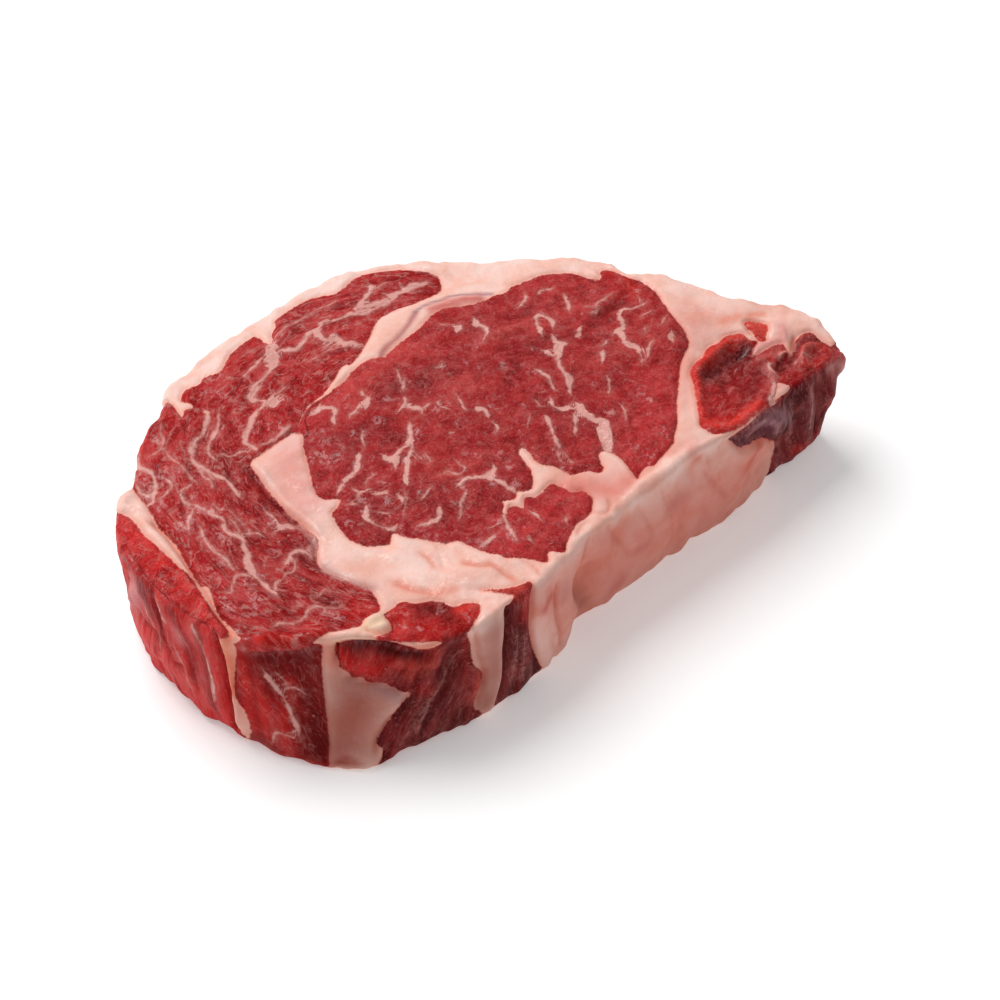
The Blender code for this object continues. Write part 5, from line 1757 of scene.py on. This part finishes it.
    def faces(self, levels: int, around: int, face_index: np.ndarray,
              under_index: np.ndarray) -> tuple[np.ndarray, np.ndarray]:
        """Joins the points: the wall's cells, the cut face's, the underside's turned over, and the strip
        between the foot's ring and the underside's coarser ring.

        Args:
            levels: how many rings the wall has.
            around: how many points a ring has.
            face_index: the cut face's points by row and column.
            under_index: the underside's points by row and column.

        Returns:
            Faces of four and faces of three.
        """
        ring = np.arange(around)
        beside = (ring + 1) % around
        lower = (np.arange(levels - 1) * around)[:, None]
        wall = np.stack([lower + ring, lower + beside, lower + around + beside, lower + around + ring], -1)
        face = np.stack([face_index[:-1, :-1], face_index[:-1, 1:], face_index[1:, 1:],
                         face_index[1:, :-1]], -1)
        under = np.stack([under_index[:-1, :-1], under_index[1:, :-1], under_index[1:, 1:],
                          under_index[:-1, 1:]], -1)
        quads = np.concatenate([wall.reshape(-1, 4), face.reshape(-1, 4), under.reshape(-1, 4)])
        outer = np.concatenate([under_index[0, :-1], under_index[:-1, -1], under_index[-1, :0:-1],
                                under_index[:0:-1, 0]])
        following = np.roll(outer, -1)
        first = np.arange(0, around, self.coarse)
        second, third = first + 1, (first + 2) % around
        triangles = np.concatenate([
            np.stack([outer, second, first], -1), np.stack([outer, following, second], -1),
            np.stack([following, third, second], -1)])
        return quads, triangles

    @staticmethod
    def mesh(points: np.ndarray, quads: np.ndarray, triangles: np.ndarray) -> bpy.types.Mesh:
        """A smooth-shaded mesh of these points and faces."""
        mesh = bpy.data.meshes.new("steak")
        mesh.from_pydata(points.tolist(), [], quads.tolist() + triangles.tolist())
        mesh.shade_smooth()
        mesh.update()
        return mesh

    def dress(self, steak: bpy.types.Object) -> None:
        """Gives the steak its finish."""
        steak.data.materials.append(RawBeef().material())


# ---------------------------------------------------------------------------------------------------
# The studio
# ---------------------------------------------------------------------------------------------------


@dataclass(frozen=True)
class Studio:
    """A pale floor, soft light from the far left, and the camera. Lengths are in metres."""

    aim: tuple = (-0.01155, -0.03178, 0.036)
    distance: float = 0.6225
    azimuth: float = -34.0
    elevation: float = 45.0
    view_angle: float = 22.0
    floor_size: float = 9.0

    def back(self) -> Vector:
        """The direction from the aim to the camera."""
        a, e = math.radians(self.azimuth), math.radians(self.elevation)
        return Vector((math.sin(a) * math.cos(e), -math.cos(a) * math.cos(e), math.sin(e)))

    def camera(self) -> bpy.types.Object:
        """The camera, looking at the aim, with no tilt."""
        lens = bpy.data.cameras.new("camera")
        lens.sensor_width = 36.0
        lens.lens = lens.sensor_width / 2 / math.tan(math.radians(self.view_angle / 2))
        camera = bpy.data.objects.new("camera", lens)
        camera.location = Vector(self.aim) + self.back() * self.distance
        camera.rotation_euler = (-self.back()).to_track_quat("-Z", "Y").to_euler()
        bpy.context.scene.collection.objects.link(camera)
        bpy.context.scene.camera = camera
        return camera

    def light(self, name: str, azimuth: float, elevation: float, distance: float, size: float,
              power: float) -> None:
        """A soft square light that faces the steak.

        Args:
            name: the light's name.
            azimuth: where it stands around the steak, in degrees from the camera's side, leftwards.
            elevation: its height in degrees.
            distance: how far off it stands.
            size: its side.
            power: its power in watts.
        """
        lamp = bpy.data.lights.new(name, "AREA")
        lamp.size = size
        lamp.energy = power
        a, e = math.radians(self.azimuth - azimuth), math.radians(elevation)
        way = Vector((math.sin(a) * math.cos(e), -math.cos(a) * math.cos(e), math.sin(e)))
        lamp_object = bpy.data.objects.new(name, lamp)
        lamp_object.location = way * distance
        lamp_object.rotation_euler = (-way).to_track_quat("-Z", "Y").to_euler()
        bpy.context.scene.collection.objects.link(lamp_object)

    def lights(self) -> None:
        """The large key from the far left, a weaker fill, and an even sky."""
        self.light("key", 133.0, 60.0, 1.5, 1.0, 18.5)
        self.light("side", 82.0, 22.0, 1.6, 1.2, 3.0)
        world = bpy.data.worlds.new("studio")
        world.use_nodes = True
        world.node_tree.nodes["Background"].inputs["Color"].default_value = (1.0, 1.0, 1.0, 1.0)
        world.node_tree.nodes["Background"].inputs["Strength"].default_value = 0.38
        bpy.context.scene.world = world

    def floor(self) -> bpy.types.Object:
        """A flat pale floor just under the steak."""
        half = self.floor_size / 2
        mesh = bpy.data.meshes.new("floor")
        corners = [(-half, -half, 0), (half, -half, 0), (half, half, 0), (-half, half, 0)]
        mesh.from_pydata([(x, y, -0.0001) for x, y, _ in corners], [], [(0, 1, 2, 3)])
        bench = Bench("pale_floor")
        shader = bench.make("ShaderNodeBsdfPrincipled", {}, {
            "Base Color": (0.88, 0.88, 0.88, 1.0), "Roughness": 0.9, "Specular IOR Level": 0.1,
            "Emission Color": (1.0, 1.0, 1.0, 1.0), "Emission Strength": 0.26})
        mesh.materials.append(bench.finish(shader))
        floor = bpy.data.objects.new("floor", mesh)
        bpy.context.scene.collection.objects.link(floor)
        return floor

    def build(self) -> None:
        """Sets up the camera, the lights and the floor."""
        self.camera()
        self.lights()
        self.floor()
        bpy.context.scene.view_settings.view_transform = "Standard"


def main() -> None:
    """Builds the steak around its solid, and the studio around the steak."""
    logging.basicConfig(level=logging.INFO, format="%(name)s: %(message)s")
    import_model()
    steak = Steak()
    piece = steak.build()
    steak.dress(piece)
    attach(piece, "root")
    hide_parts(NODE)
    log.info("steak: %d points, %d faces", len(piece.data.vertices), len(piece.data.polygons))
    Studio().build()
    log.info("studio: camera, lights and floor")


if __name__ == "__main__":
    main()
